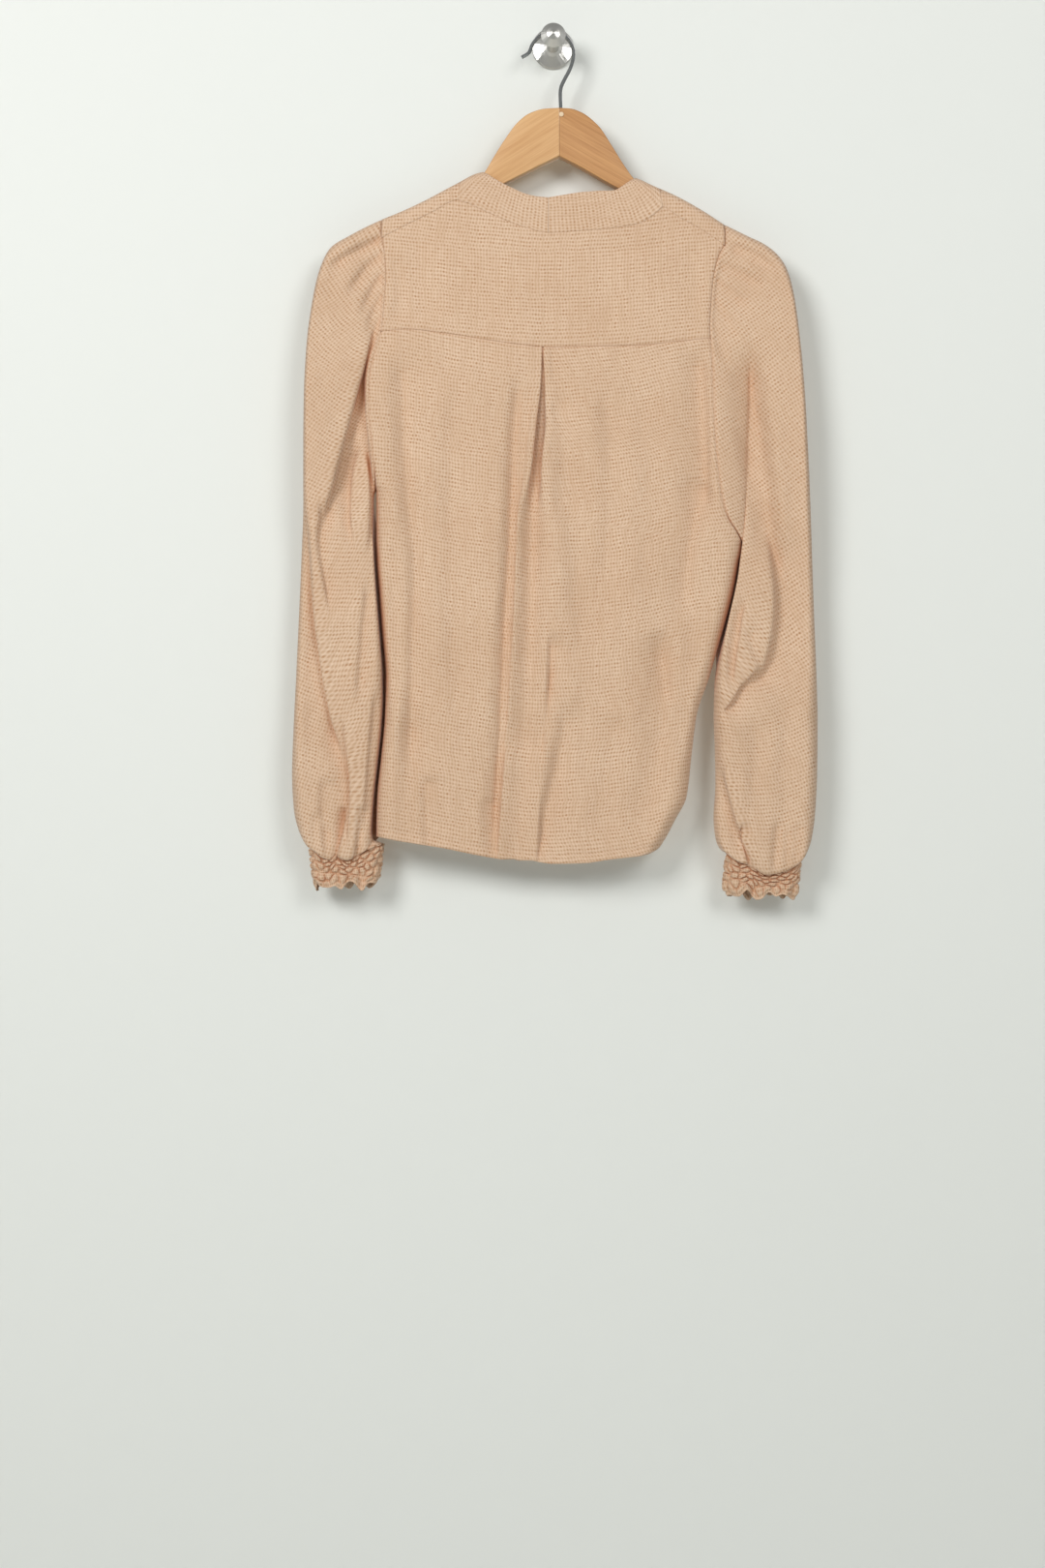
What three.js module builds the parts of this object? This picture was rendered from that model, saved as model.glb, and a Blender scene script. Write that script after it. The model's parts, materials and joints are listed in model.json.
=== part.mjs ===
import * as THREE from "three";

// A long-sleeved blouse hung by its shoulders on a wooden hanger, seen from its back. Millimetres.
// x runs to the right, y from the viewer to the wall plane y = 0, z up. The origin is the centre
// of the back face of the wall hook's plate.

// Driving sizes
const CLOTH = 1.2; // wall of the cloth
const SEAM_GAP = 0.3; // left between two pieces at a seam
const CUFF_GAP = 0.45; // the same between sleeve and cuff, whose rims have different steps
const RIDGE_Y = -25; // depth of the shoulder ridge, over the middle of the hanger arms
const RIDGE_RADIUS = 8.5; // bend of the cloth over the arms
const SIDE_ROLL = 17; // bend of the body cloth at the side seams
const UNDERARM_LEFT = -430; // height of the underarm points
const UNDERARM_RIGHT = -481;
const UNDERARM_ROUND = 38; // height over which an armhole closes to its underarm point
const CENTRE_BACK = -4.5; // centre-back seam of the neck band
const CORNER_SHARE = 0.062; // part of each side of the V that lies over the ridge
const CORNER_DOWN = 16; // where that part ends, down over the cloth from the ridge
const SPREAD = 160; // distance below the neck edge over which the front widens to the body's width
const V_POINT = { x: 2, s: 192 }; // lowest point of the neck seam at the front, s down from the ridge
const SMOCK_RAISE = 1.3; // height of the smocked puffs over the plain inside of a cuff
const CUFF_AROUND = 64; // points round a cuff, two to a puff
const CUFF_HALF = 11.5; // half thickness of the flattened cuffs
const CUFF_Y = -28; // depth of their middle
const FRILL_WAVES = 11;
const WOOD_Y = [-31, -19]; // faces of the hanger arms
const WOOD_BEVEL = 2.6;
const WIRE_RADIUS = 1.75;
const MITRE_X = 5.8; // joint of the two hanger arms

// Body, a row per height: left and right edge (armhole, then side seam), depths of the back layer,
// of the side seams and of the front layer
const BODY = [
  { z: -130, left: -166.5, right: 178.0, back: -33.5, mid: -25.0, front: -16.5 },
  { z: -173, left: -165.7, right: 174.0, back: -33.8, mid: -25.0, front: -16.4 },
  { z: -190, left: -163.0, right: 167.5, back: -34.6, mid: -25.1, front: -15.8 },
  { z: -207, left: -160.3, right: 157.5, back: -35.4, mid: -25.2, front: -15.2 },
  { z: -228, left: -159.3, right: 152.2, back: -36.6, mid: -25.4, front: -14.4 },
  { z: -251, left: -160.7, right: 150.0, back: -37.8, mid: -25.6, front: -13.6 },
  { z: -277, left: -163.0, right: 148.6, back: -39.2, mid: -25.8, front: -12.8 },
  { z: -300, left: -169.4, right: 150.4, back: -40.2, mid: -26.0, front: -12.2 },
  { z: -324, left: -174.0, right: 151.3, back: -41.2, mid: -26.2, front: -11.6 },
  { z: -356, left: -174.9, right: 152.2, back: -42.2, mid: -26.4, front: -11.0 },
  { z: -387, left: -171.5, right: 154.1, back: -43.0, mid: -26.6, front: -10.4 },
  { z: -430, left: -168.5, right: 158.7, back: -44.0, mid: -26.8, front: -9.6 },
  { z: -456, left: -168.5, right: 165.1, back: -44.4, mid: -26.9, front: -9.4 },
  { z: -471, left: -168.5, right: 174.5, back: -44.7, mid: -27.0, front: -9.2 },
  { z: -482, left: -168.4, right: 179.7, back: -44.9, mid: -27.0, front: -9.0 },
  { z: -500, left: -168.0, right: 176.1, back: -45.2, mid: -27.0, front: -8.8 },
  { z: -526, left: -165.8, right: 171.5, back: -45.6, mid: -27.0, front: -8.6 },
  { z: -564, left: -163.0, right: 161.5, back: -46.2, mid: -27.0, front: -8.4 },
  { z: -608, left: -159.5, right: 148.5, back: -46.8, mid: -27.0, front: -8.2 },
  { z: -644, left: -160.3, right: 136.7, back: -47.4, mid: -27.2, front: -8.2 },
  { z: -679, left: -163.5, right: 132.1, back: -48.0, mid: -27.4, front: -8.4 },
  { z: -721, left: -167.6, right: 127.0, back: -48.8, mid: -27.8, front: -8.8 },
  { z: -744, left: -168.3, right: 115.6, back: -49.2, mid: -28.0, front: -9.2 },
  { z: -758, left: -168.5, right: 108.3, back: -49.5, mid: -28.2, front: -9.6 },
  { z: -777, left: -168.5, right: 96.3, back: -50.0, mid: -28.4, front: -10.0 },
];

// Shoulder ridge; between x -69 and 79 it only carries the neck band's depth
const RIDGE = [
  { x: -200, z: -187.5 }, { x: -172, z: -174.9 }, { x: -144, z: -163.4 }, { x: -121, z: -152.6 },
  { x: -94, z: -138.2 }, { x: -69, z: -126.4 }, { x: -30, z: -122.0 }, { x: 40, z: -124.0 },
  { x: 79, z: -131.8 }, { x: 93, z: -138.0 }, { x: 118, z: -149.2 }, { x: 141, z: -162.0 },
  { x: 171, z: -181.4 }, { x: 200, z: -198.0 },
];

// Upper edge of the yoke: shoulder seam, neck seam, shoulder seam
const SHOULDER_LEFT = { x: -91, z: -155 };
const SHOULDER_RIGHT = { x: 104, z: -161.5 };
const SHOULDER_SEAM = [
  { x: -170, z: -194.5 }, { x: -139, z: -178.3 }, { x: -115, z: -166.4 }, { x: -91, z: -155 },
  { x: 104, z: -161.5 }, { x: 120, z: -171.5 }, { x: 139, z: -182.0 }, { x: 175, z: -207.0 },
];
const NECK_SEAM = [
  { x: -91, z: -155.0 }, { x: -80, z: -158.5 }, { x: -66, z: -165.0 }, { x: -47, z: -173.4 },
  { x: -25, z: -181.4 }, { x: -4.5, z: -186.0 }, { x: 21, z: -184.6 }, { x: 49, z: -182.3 },
  { x: 80, z: -177.6 }, { x: 95, z: -169.4 }, { x: 104, z: -161.5 },
];
const YOKE_SEAM = [
  { x: -180, z: -280.8 }, { x: -163, z: -280.2 }, { x: -140, z: -278.2 }, { x: -102, z: -282.2 },
  { x: -66, z: -287.7 }, { x: -29, z: -293.0 }, { x: -5, z: -295.0 }, { x: 44, z: -294.4 },
  { x: 81, z: -293.6 }, { x: 117, z: -289.8 }, { x: 149, z: -286.8 }, { x: 180, z: -285.0 },
];
const HEM = [
  { w: 0, z: -758.4 }, { w: 0.085, z: -763.8 }, { w: 0.226, z: -769.3 }, { w: 0.367, z: -776.0 },
  { w: 0.492, z: -781.0 }, { w: 0.594, z: -784.0 }, { w: 0.726, z: -783.7 }, { w: 0.856, z: -780.1 },
  { w: 1, z: -776.7 },
];

// Lines that the columns of the back follow: left fold, second line, both edges of the centre
// pleat, right fold
const BACK_LINES = [
  { z: -280, fold: -145.0, second: -33.0, slitL: -9.7, slitR: -8.9, right: 140.6 },
  { z: -329, fold: -143.6, second: -33.4, slitL: -11.6, slitR: -8.6, right: 143.4 },
  { z: -361, fold: -142.4, second: -34.6, slitL: -15.2, slitR: -8.6, right: 145.2 },
  { z: -405, fold: -140.6, second: -38.0, slitL: -20.0, slitR: -12.2, right: 145.0 },
  { z: -450, fold: -135.0, second: -41.5, slitL: -24.0, slitR: -15.4, right: 142.0 },
  { z: -496, fold: -129.4, second: -43.5, slitL: -26.0, slitR: -16.6, right: 131.5 },
  { z: -548, fold: -131.4, second: -46.0, slitL: -28.0, slitR: -17.0, right: 124.0 },
  { z: -610, fold: -134.6, second: -50.0, slitL: -31.5, slitR: -19.0, right: 113.0 },
  { z: -679, fold: -136.0, second: -54.0, slitL: -36.0, slitR: -22.0, right: 103.0 },
  { z: -721, fold: -136.0, second: -57.0, slitL: -39.0, slitR: -25.0, right: 96.0 },
  { z: -785, fold: -137.0, second: -62.0, slitL: -44.0, slitR: -29.0, right: 74.0 },
];

// Centre pleat, a row per height: how far it runs under, its depth, 0 pressed to 1 soft
const PLEAT = [
  { z: -280, under: 15, depth: 3.9, soft: 0 }, { z: -330, under: 10, depth: 4.6, soft: 0 },
  { z: -361, under: 6, depth: 5.6, soft: 0 }, { z: -400, under: 0, depth: 7.0, soft: 0 },
  { z: -460, under: 0, depth: 8.0, soft: 1 }, { z: -565, under: 0, depth: 6.6, soft: 1 },
  { z: -640, under: 0, depth: 4.6, soft: 1 }, { z: -785, under: 0, depth: 3.0, soft: 1 },
];

// Folds, a row per fold: a curve through three points, depth away from the viewer and the width of
// its left and right flank
const BACK_FOLDS = [
  { x0: -145, z0: -290, x1: -140, z1: -420, x2: -129, z2: -560, depth: 4.2, left: 9, right: 16 },
  { x0: -131, z0: -520, x1: -137, z1: -650, x2: -136, z2: -775, depth: 3.4, left: 12, right: 14 },
  { x0: -33, z0: -300, x1: -43, z1: -480, x2: -60, z2: -770, depth: 3.6, left: 14, right: 9 },
  { x0: 6, z0: -330, x1: 9, z1: -400, x2: 6, z2: -470, depth: 2.0, left: 10, right: 12 },
  { x0: 50, z0: -370, x1: 53, z1: -430, x2: 52, z2: -520, depth: 1.6, left: 12, right: 14 },
  { x0: 141, z0: -292, x1: 145, z1: -380, x2: 127, z2: -500, depth: 4.0, left: 15, right: 8 },
  { x0: -6, z0: -580, x1: -16, z1: -625, x2: -36, z2: -670, depth: 4.0, left: 12, right: 16 },
  { x0: 12, z0: -650, x1: -2, z1: -715, x2: -26, z2: -780, depth: 3.4, left: 12, right: 16 },
  { x0: 99, z0: -570, x1: 104, z1: -640, x2: 92, z2: -740, depth: 3.4, left: 16, right: 9 },
  { x0: -118, z0: -690, x1: -118, z1: -735, x2: -118, z2: -790, depth: 3.0, left: 9, right: 14 },
];
const FRONT_FOLDS = [
  { x0: -118, z0: -250, x1: -112, z1: -450, x2: -118, z2: -770, depth: 2.6, left: 16, right: 16 },
  { x0: -44, z0: -380, x1: -50, z1: -560, x2: -58, z2: -770, depth: 2.8, left: 16, right: 18 },
  { x0: 48, z0: -380, x1: 44, z1: -560, x2: 28, z2: -780, depth: 2.6, left: 18, right: 16 },
  { x0: 124, z0: -250, x1: 112, z1: -460, x2: 76, z2: -770, depth: 2.8, left: 16, right: 16 },
];

// Sleeves, a row per ring: outer point, inner point, depths of the layer in front and behind and how
// far the ring's front hangs below the line between the two points
const SLEEVE_LEFT = [
  { v: 0.0, ox: -166, oz: -173, ix: -168.5, iz: -430, near: -40, far: -13, sag: 0 },
  { v: 1.0, ox: -181, oz: -180, ix: -170.3, iz: -434, near: -40, far: -12, sag: 0 },
  { v: 2.0, ox: -195, oz: -187.8, ix: -171.4, iz: -441, near: -41, far: -11, sag: 0 },
  { v: 3.0, ox: -212, oz: -199, ix: -173, iz: -457, near: -42, far: -10, sag: 0 },
  { v: 4.0, ox: -223, oz: -222, ix: -174, iz: -474, near: -43, far: -9.5, sag: 0 },
  { v: 5.0, ox: -229.5, oz: -252, ix: -174, iz: -492, near: -44, far: -9, sag: 0 },
  { v: 6.0, ox: -234.5, oz: -290, ix: -173.6, iz: -511, near: -45, far: -8.5, sag: 0 },
  { v: 7.0, ox: -237, oz: -336, ix: -172.6, iz: -532, near: -46, far: -8, sag: 0 },
  { v: 8.0, ox: -237.6, oz: -386, ix: -171.2, iz: -554, near: -47, far: -8, sag: 0 },
  { v: 9.0, ox: -237.6, oz: -439, ix: -169.4, iz: -577, near: -48, far: -7.5, sag: 0 },
  { v: 10.0, ox: -239.5, oz: -494, ix: -167.8, iz: -602, near: -48, far: -7.5, sag: 0 },
  { v: 11.0, ox: -242, oz: -552, ix: -167.5, iz: -628, near: -48, far: -7.5, sag: 0 },
  { v: 12.0, ox: -244.6, oz: -607, ix: -168.4, iz: -656, near: -48, far: -7.5, sag: 0 },
  { v: 13.0, ox: -247, oz: -657, ix: -170.6, iz: -686, near: -48, far: -7.5, sag: 0 },
  { v: 14.0, ox: -248.4, oz: -699, ix: -173.6, iz: -714, near: -48, far: -8, sag: 0 },
  { v: 15.0, ox: -246.6, oz: -733, ix: -175.6, iz: -737, near: -48, far: -8.5, sag: 0 },
  { v: 16.0, ox: -241.6, oz: -754, ix: -176.4, iz: -753, near: -48, far: -9.5, sag: 5 },
  { v: 17.0, ox: -237, oz: -763.6, ix: -171.5, iz: -761, near: -46.5, far: -11.5, sag: 9.8 },
  { v: 18.0, ox: -234, oz: -768.2, ix: -165.5, iz: -763.8, near: -43, far: -13.8, sag: 11.6 },
  { v: 19.0, ox: -231.5, oz: -770.5, ix: -161.5, iz: -765.0, near: -39.5, far: -16.5, sag: 11 },
];
const SLEEVE_RIGHT = [
  { v: 0.0, ox: 174, oz: -183, ix: 179.7, iz: -481, near: -40, far: -13, sag: 0 },
  { v: 1.0, ox: 185, oz: -187.6, ix: 181, iz: -486, near: -40, far: -12, sag: 0 },
  { v: 2.0, ox: 197, oz: -193, ix: 181.8, iz: -492, near: -41, far: -11, sag: 0 },
  { v: 3.0, ox: 211, oz: -203, ix: 182, iz: -501, near: -42, far: -10, sag: 0 },
  { v: 4.0, ox: 221, oz: -217, ix: 181.6, iz: -511, near: -43, far: -9.5, sag: 0 },
  { v: 5.0, ox: 228, oz: -240, ix: 180.2, iz: -523, near: -44, far: -9, sag: 0 },
  { v: 6.0, ox: 233.4, oz: -276, ix: 177.4, iz: -535, near: -45, far: -8.5, sag: 0 },
  { v: 7.0, ox: 238, oz: -322, ix: 173.4, iz: -549, near: -46, far: -8, sag: 0 },
  { v: 8.0, ox: 241.4, oz: -376, ix: 168.4, iz: -564, near: -47, far: -8, sag: 0 },
  { v: 9.0, ox: 244, oz: -432, ix: 162.6, iz: -580, near: -48, far: -7.5, sag: 0 },
  { v: 10.0, ox: 246, oz: -488, ix: 157.2, iz: -597, near: -48, far: -7.5, sag: 0 },
  { v: 11.0, ox: 248, oz: -545, ix: 153.4, iz: -617, near: -48, far: -7.5, sag: 0 },
  { v: 12.0, ox: 250.2, oz: -600, ix: 152.8, iz: -645, near: -48, far: -7.5, sag: 0 },
  { v: 13.0, ox: 251.4, oz: -650, ix: 153.8, iz: -675, near: -48, far: -7.5, sag: 0 },
  { v: 14.0, ox: 251, oz: -697, ix: 154.4, iz: -708, near: -48, far: -8, sag: 0 },
  { v: 15.0, ox: 249, oz: -737, ix: 152.6, iz: -740, near: -48, far: -8.5, sag: 0 },
  { v: 16.0, ox: 245.4, oz: -762, ix: 154.6, iz: -761, near: -48, far: -9.5, sag: 6 },
  { v: 17.0, ox: 241, oz: -774.5, ix: 158.6, iz: -770.4, near: -46.5, far: -11.5, sag: 10.6 },
  { v: 18.0, ox: 238, oz: -780, ix: 162, iz: -773, near: -43, far: -13.8, sag: 12.6 },
  { v: 19.0, ox: 235.5, oz: -782.5, ix: 164.5, iz: -774.5, near: -39.5, far: -16.5, sag: 12 },
];
const SLEEVE_LEFT_FOLDS = [
  { x0: -168, z0: -290, x1: -214, z1: -430, x2: -200, z2: -535, depth: 10, left: 5, right: 22 },
  { x0: -181, z0: -380, x1: -193, z1: -430, x2: -187, z2: -500, depth: 4, left: 7, right: 7 },
  { x0: -237, z0: -450, x1: -222, z1: -589, x2: -196, z2: -765, depth: 8, left: 20, right: 5 },
  { x0: -166, z0: -640, x1: -178, z1: -700, x2: -184, z2: -770, depth: 5, left: 6, right: 10 },
  { x0: -173, z0: -510, x1: -180, z1: -580, x2: -184, z2: -640, depth: 3.6, left: 7, right: 7 },
  { x0: -214, z0: -690, x1: -215, z1: -735, x2: -213, z2: -785, depth: 3.4, left: 6, right: 7 },
];
const SLEEVE_RIGHT_FOLDS = [
  { x0: 176, z0: -262, x1: 201, z1: -430, x2: 196, z2: -600, depth: 9, left: 22, right: 5 },
  { x0: 155, z0: -262, x1: 168, z1: -300, x2: 176, z2: -355, depth: 4, left: 7, right: 8 },
  { x0: 162, z0: -340, x1: 176, z1: -378, x2: 192, z2: -430, depth: 4, left: 7, right: 7 },
  { x0: 194, z0: -580, x1: 172, z1: -630, x2: 158, z2: -668, depth: 5, left: 12, right: 6 },
  { x0: 157, z0: -690, x1: 168, z1: -735, x2: 183, z2: -790, depth: 7, left: 14, right: 5 },
  { x0: 222, z0: -610, x1: 219, z1: -700, x2: 216, z2: -795, depth: 3.4, left: 8, right: 8 },
];
const SLEEVE_RINGS = [0, 0.5, 1, 2, 3, 4, 5, 6, 7, 8, 9, 10, 11, 12, 13, 14, 15, 16, 17, 18, 19];
const HEAD_PLEATS = 1.5; // depth of the pleats at a sleeve head, on every other column
const FAR_FOLD = 0.45; // the folds behind are this much of those in front

// Cuffs, a row per ring from the sleeve down: end points, half thickness, share of the smocking,
// height of the frill's waves
const CUFF_LEFT = [
  { v: 0, ox: -231.5, oz: -770.8, ix: -161.5, iz: -765.3, half: 11.5, smock: 0, wave: 0, sag: 11 },
  { v: 0.1, ox: -231.3, oz: -774.0, ix: -161.8, iz: -768.6, half: 11.5, smock: 0.3, wave: 0, sag: 9.6 },
  { v: 0.75, ox: -228.6, oz: -796.0, ix: -164.6, iz: -791.4, half: 11.2, smock: 1, wave: 0, sag: 1.5 },
  { v: 0.82, ox: -227.8, oz: -798.0, ix: -165.6, iz: -794.0, half: 11.0, smock: 0, wave: 0.4, sag: 0.8 },
  { v: 1, ox: -226.0, oz: -805.0, ix: -168.0, iz: -802.5, half: 11.6, smock: 0, wave: 2.4, sag: 0 },
];
const CUFF_RIGHT = [
  { v: 0, ox: 235.5, oz: -782.8, ix: 164.5, iz: -774.8, half: 11.5, smock: 0, wave: 0, sag: 12 },
  { v: 0.1, ox: 235.2, oz: -786.0, ix: 164.2, iz: -778.6, half: 11.5, smock: 0.3, wave: 0, sag: 10.6 },
  { v: 0.75, ox: 233.0, oz: -804.0, ix: 162.6, iz: -801.0, half: 11.2, smock: 1, wave: 0, sag: 1.5 },
  { v: 0.82, ox: 232.2, oz: -806.0, ix: 163.8, iz: -804.0, half: 11.0, smock: 0, wave: 0.4, sag: 0.8 },
  { v: 1, ox: 229.5, oz: -813.5, ix: 168.0, iz: -812.5, half: 11.6, smock: 0, wave: 2.4, sag: 0 },
];

// Upper edge of the neck band, a row per column from the centre-back seam: x and s of each half
const BAND_EDGE = [
  { m: 0, leftX: -4.5, leftS: -34.6, rightX: -4.5, rightS: -34.6 },
  { m: 1, leftX: -15, leftS: -33.9, rightX: 10, rightS: -31.8 },
  { m: 2, leftX: -27, leftS: -31.1, rightX: 26, rightS: -28.6 },
  { m: 3, leftX: -39, leftS: -25.6, rightX: 42, rightS: -26.6 },
  { m: 4, leftX: -50, leftS: -19.0, rightX: 57, rightS: -24.0 },
  { m: 5, leftX: -58, leftS: -13.0, rightX: 68, rightS: -15.5 },
  { m: 6, leftX: -64, leftS: -7.5, rightX: 75.5, rightS: -8.0 },
  { m: 7, leftX: -66.2, leftS: -3, rightX: 79, rightS: -3 },
  { m: 8, leftX: -66.4, leftS: 3, rightX: 79.4, rightS: 3 },
  { m: 9, leftX: -63.8, leftS: 9.5, rightX: 77, rightS: 9.5 },
];
const BAND_MITRE = 68; // height of the mitre at the V
const BAND_ROWS = [0, 0.33, 0.67, 1];

const CUFF_ROWS = [0, 0.1, 0.17, 0.24, 0.31, 0.38, 0.45, 0.52, 0.59, 0.66, 0.73, 0.8, 0.9, 1];
const CUFF_INNER_ROWS = [0, 0.8, 0.9, 1];

// Hanger arms, a row per station from the mitre outwards: distance from it, upper and lower edge
const ARM_LEFT = [
  { x: 0.15, top: -66, low: -112 }, { x: 14, top: -66.6, low: -118.6 }, { x: 28, top: -70.4, low: -125.6 },
  { x: 39.6, top: -79.6, low: -131.4 },
  { x: 53.5, top: -99, low: -138.6 }, { x: 63, top: -114.5, low: -143.6 },
  { x: 68, top: -125, low: -146.4 }, { x: 73, top: -132.6, low: -149.2 },
  { x: 85, top: -139.8, low: -155.6 }, { x: 96, top: -147.4, low: -163.6 },
  { x: 128, top: -158.4, low: -180.4 },
  { x: 178, top: -180.6, low: -203 }, { x: 208, top: -198, low: -219 }, { x: 215.8, top: -205, low: -221 },
  { x: 219.3, top: -210.6, low: -217 },
];
const ARM_RIGHT = [
  { x: 0.15, top: -66, low: -112 }, { x: 10, top: -66.4, low: -117 }, { x: 20.5, top: -69.4, low: -122.6 },
  { x: 37, top: -82.4, low: -132 },
  { x: 50, top: -102.6, low: -139.4 }, { x: 61, top: -120.4, low: -145.4 },
  { x: 74, top: -138.4, low: -153 }, { x: 92, top: -146.6, low: -163.4 }, { x: 113, top: -155, low: -176 },
  { x: 165, top: -187, low: -208 }, { x: 203, top: -208, low: -228 }, { x: 208.2, top: -214.5, low: -230 },
  { x: 211.7, top: -220, low: -226 },
];
// Hook wire from its foot over the wall hook's neck to its tip
const WIRE = [
  { x: 7.3, z: -65.6 }, { x: 7.3, z: -46 }, { x: 10.4, z: -38.4 }, { x: 15.8, z: -28 }, { x: 18.8, z: -19 },
  { x: 19.4, z: -10.6 }, { x: 16.8, z: -3.2 }, { x: 11.4, z: 3.6 }, { x: 5.2, z: 7.6 }, { x: -1.2, z: 8.7 },
  { x: -8, z: 6.6 }, { x: -14.6, z: 2 }, { x: -19.8, z: -4.4 }, { x: -23, z: -12 }, { x: -29.8, z: -16.4 },
];
// Wall hook turned about the y axis
const KNOB = [
  { y: 0, r: 19.4 }, { y: -1.6, r: 20 }, { y: -3, r: 19.2 }, { y: -6, r: 9.5 }, { y: -8, r: 6.5 },
  { y: -34, r: 6.3 }, { y: -37, r: 11.2 }, { y: -39, r: 11.7 }, { y: -44.5, r: 6 }, { y: -45.5, r: 2.5 },
];

// Small vector and curve helpers
const lerp = (a, b, t) => a + (b - a) * t;
const clamp = (x, a = 0, b = 1) => Math.min(b, Math.max(a, x));
const ease = (a, b, x) => ((t) => t * t * (3 - 2 * t))(clamp((x - a) / (b - a)));
const plus = (p, q, k = 1) => [p[0] + q[0] * k, p[1] + q[1] * k, p[2] + q[2] * k];
const minus = (p, q) => plus(p, q, -1);
const cross = (p, q) => [p[1] * q[2] - p[2] * q[1], p[2] * q[0] - p[0] * q[2], p[0] * q[1] - p[1] * q[0]];
const dot = (p, q) => p[0] * q[0] + p[1] * q[1] + p[2] * q[2];
const unit = (p) => p.map((c) => c / (Math.hypot(...p) || 1));
const range = (n) => Array.from({ length: n }, (_, i) => i);
const quarter = (t) => (t >= 1 ? 1 : Math.sqrt(Math.max(0, 1 - (1 - Math.max(t, 0)) ** 2)));

// One column of a table as a smooth function of its key column
function reader(table, key, name) {
  const rows = [...table].sort((a, b) => a[key] - b[key]);
  const x = rows.map((r) => r[key]);
  const y = rows.map((r) => r[name]);
  const step = range(x.length - 1).map((i) => (y[i + 1] - y[i]) / (x[i + 1] - x[i]));
  const slope = x.map((_, i) => {
    if (i === 0) return step[0];
    if (i === x.length - 1) return step[i - 1];
    if (step[i - 1] * step[i] <= 0) return 0;
    return (2 * step[i - 1] * step[i]) / (step[i - 1] + step[i]);
  });
  return (at) => {
    const c = clamp(at, x[0], x[x.length - 1]);
    let i = 0;
    while (i < x.length - 2 && c > x[i + 1]) i += 1;
    const h = x[i + 1] - x[i];
    const t = (c - x[i]) / h;
    const [a, b] = [t * t * (3 - 2 * t), t * (1 - t) * h];
    return lerp(y[i], y[i + 1], a) + b * (slope[i] * (1 - t) - slope[i + 1] * t);
  };
}
const readers = (table, key) =>
  Object.fromEntries(Object.keys(table[0]).filter((n) => n !== key).map((n) => [n, reader(table, key, n)]));

const body = readers(BODY, "z");
const ridge = reader(RIDGE, "x", "z");
const line = readers(BACK_LINES, "z");
const pleat = readers(PLEAT, "z");
const hem = reader(HEM, "w", "z");
const yokeSeam = reader(YOKE_SEAM, "x", "z");
const neckSeam = reader(NECK_SEAM, "x", "z");
const shoulderSeam = reader(SHOULDER_SEAM, "x", "z");
const yokeTop = (x) => (x > SHOULDER_LEFT.x && x < SHOULDER_RIGHT.x ? neckSeam(x) : shoulderSeam(x));
const underarm = (w) => lerp(UNDERARM_LEFT, UNDERARM_RIGHT, w);

// Depth that the folds of a table add at a point of a layer
function folded(table, x, z) {
  let sum = 0;
  for (const f of table) {
    const t = (f.z0 - z) / (f.z0 - f.z2);
    if (t <= 0 || t >= 1) continue;
    const m = (f.z0 - f.z1) / (f.z0 - f.z2);
    const [a, b, c] = [((t - m) * (t - 1)) / m, (t * (t - 1)) / (m * (m - 1)), (t * (t - m)) / (1 - m)];
    const at = f.x0 * a + f.x1 * b + f.x2 * c;
    const reach = x < at ? f.left : f.right;
    sum += f.depth * ease(0, 0.16, t) * (1 - ease(0.7, 1, t)) * Math.exp(-(((x - at) / reach) ** 2));
  }
  return sum;
}

// Share of a layer's depth left at x, rolled in at the side seams and at the foot of the armholes
function rolled(x, z) {
  const w = (x - body.left(z)) / (body.right(z) - body.left(z));
  const fall = (under) => {
    const t = clamp((under + UNDERARM_ROUND - z) / UNDERARM_ROUND);
    return 1 - Math.sqrt(1 - t * t);
  };
  const left = fall(UNDERARM_LEFT) * (1 - quarter((x - body.left(z)) / SIDE_ROLL));
  const right = fall(UNDERARM_RIGHT) * (1 - quarter((body.right(z) - x) / SIDE_ROLL));
  return w < 0.5 ? 1 - left : 1 - right;
}
const edgeFade = (x, z) => ease(0, 15, Math.min(x - body.left(z), body.right(z) - x));
const overRidge = (x, z) => quarter((ridge(x) - z) / RIDGE_RADIUS);

function backLayer(x, z) {
  const base = (body.mid(z) - body.back(z)) * overRidge(x, z) * rolled(x, z);
  return [x, body.mid(z) - base + folded(BACK_FOLDS, x, z) * edgeFade(x, z), z];
}
// Point of the front, s measured down over the cloth from the ridge, negative on the viewer's side
const BEND = (RIDGE_RADIUS * Math.PI) / 2;
function frontLayer(x, s) {
  if (Math.abs(s) < BEND) {
    const a = s / RIDGE_RADIUS;
    return [x, RIDGE_Y + RIDGE_RADIUS * Math.sin(a), ridge(x) - RIDGE_RADIUS * (1 - Math.cos(a))];
  }
  const z = ridge(x) - RIDGE_RADIUS - (Math.abs(s) - BEND);
  if (s < 0) return backLayer(x, z);
  const deep = (body.front(z) - body.mid(z)) * rolled(x, z);
  return [x, body.mid(z) + deep - folded(FRONT_FOLDS, x, z) * edgeFade(x, z), z];
}
// Its inner side, one wall in from it
function frontInside(x, s) {
  const h = 0.5;
  const dx = minus(frontLayer(x + h, s), frontLayer(x - h, s));
  const ds = minus(frontLayer(x, s + h), frontLayer(x, s - h));
  return plus(frontLayer(x, s), unit(cross(dx, ds)), -CLOTH);
}
function downFromRidge(x, z) {
  const d = ridge(x) - z;
  if (d >= RIDGE_RADIUS) return BEND + d - RIDGE_RADIUS;
  return RIDGE_RADIUS * Math.acos(1 - Math.max(d, 0) / RIDGE_RADIUS);
}
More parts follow.
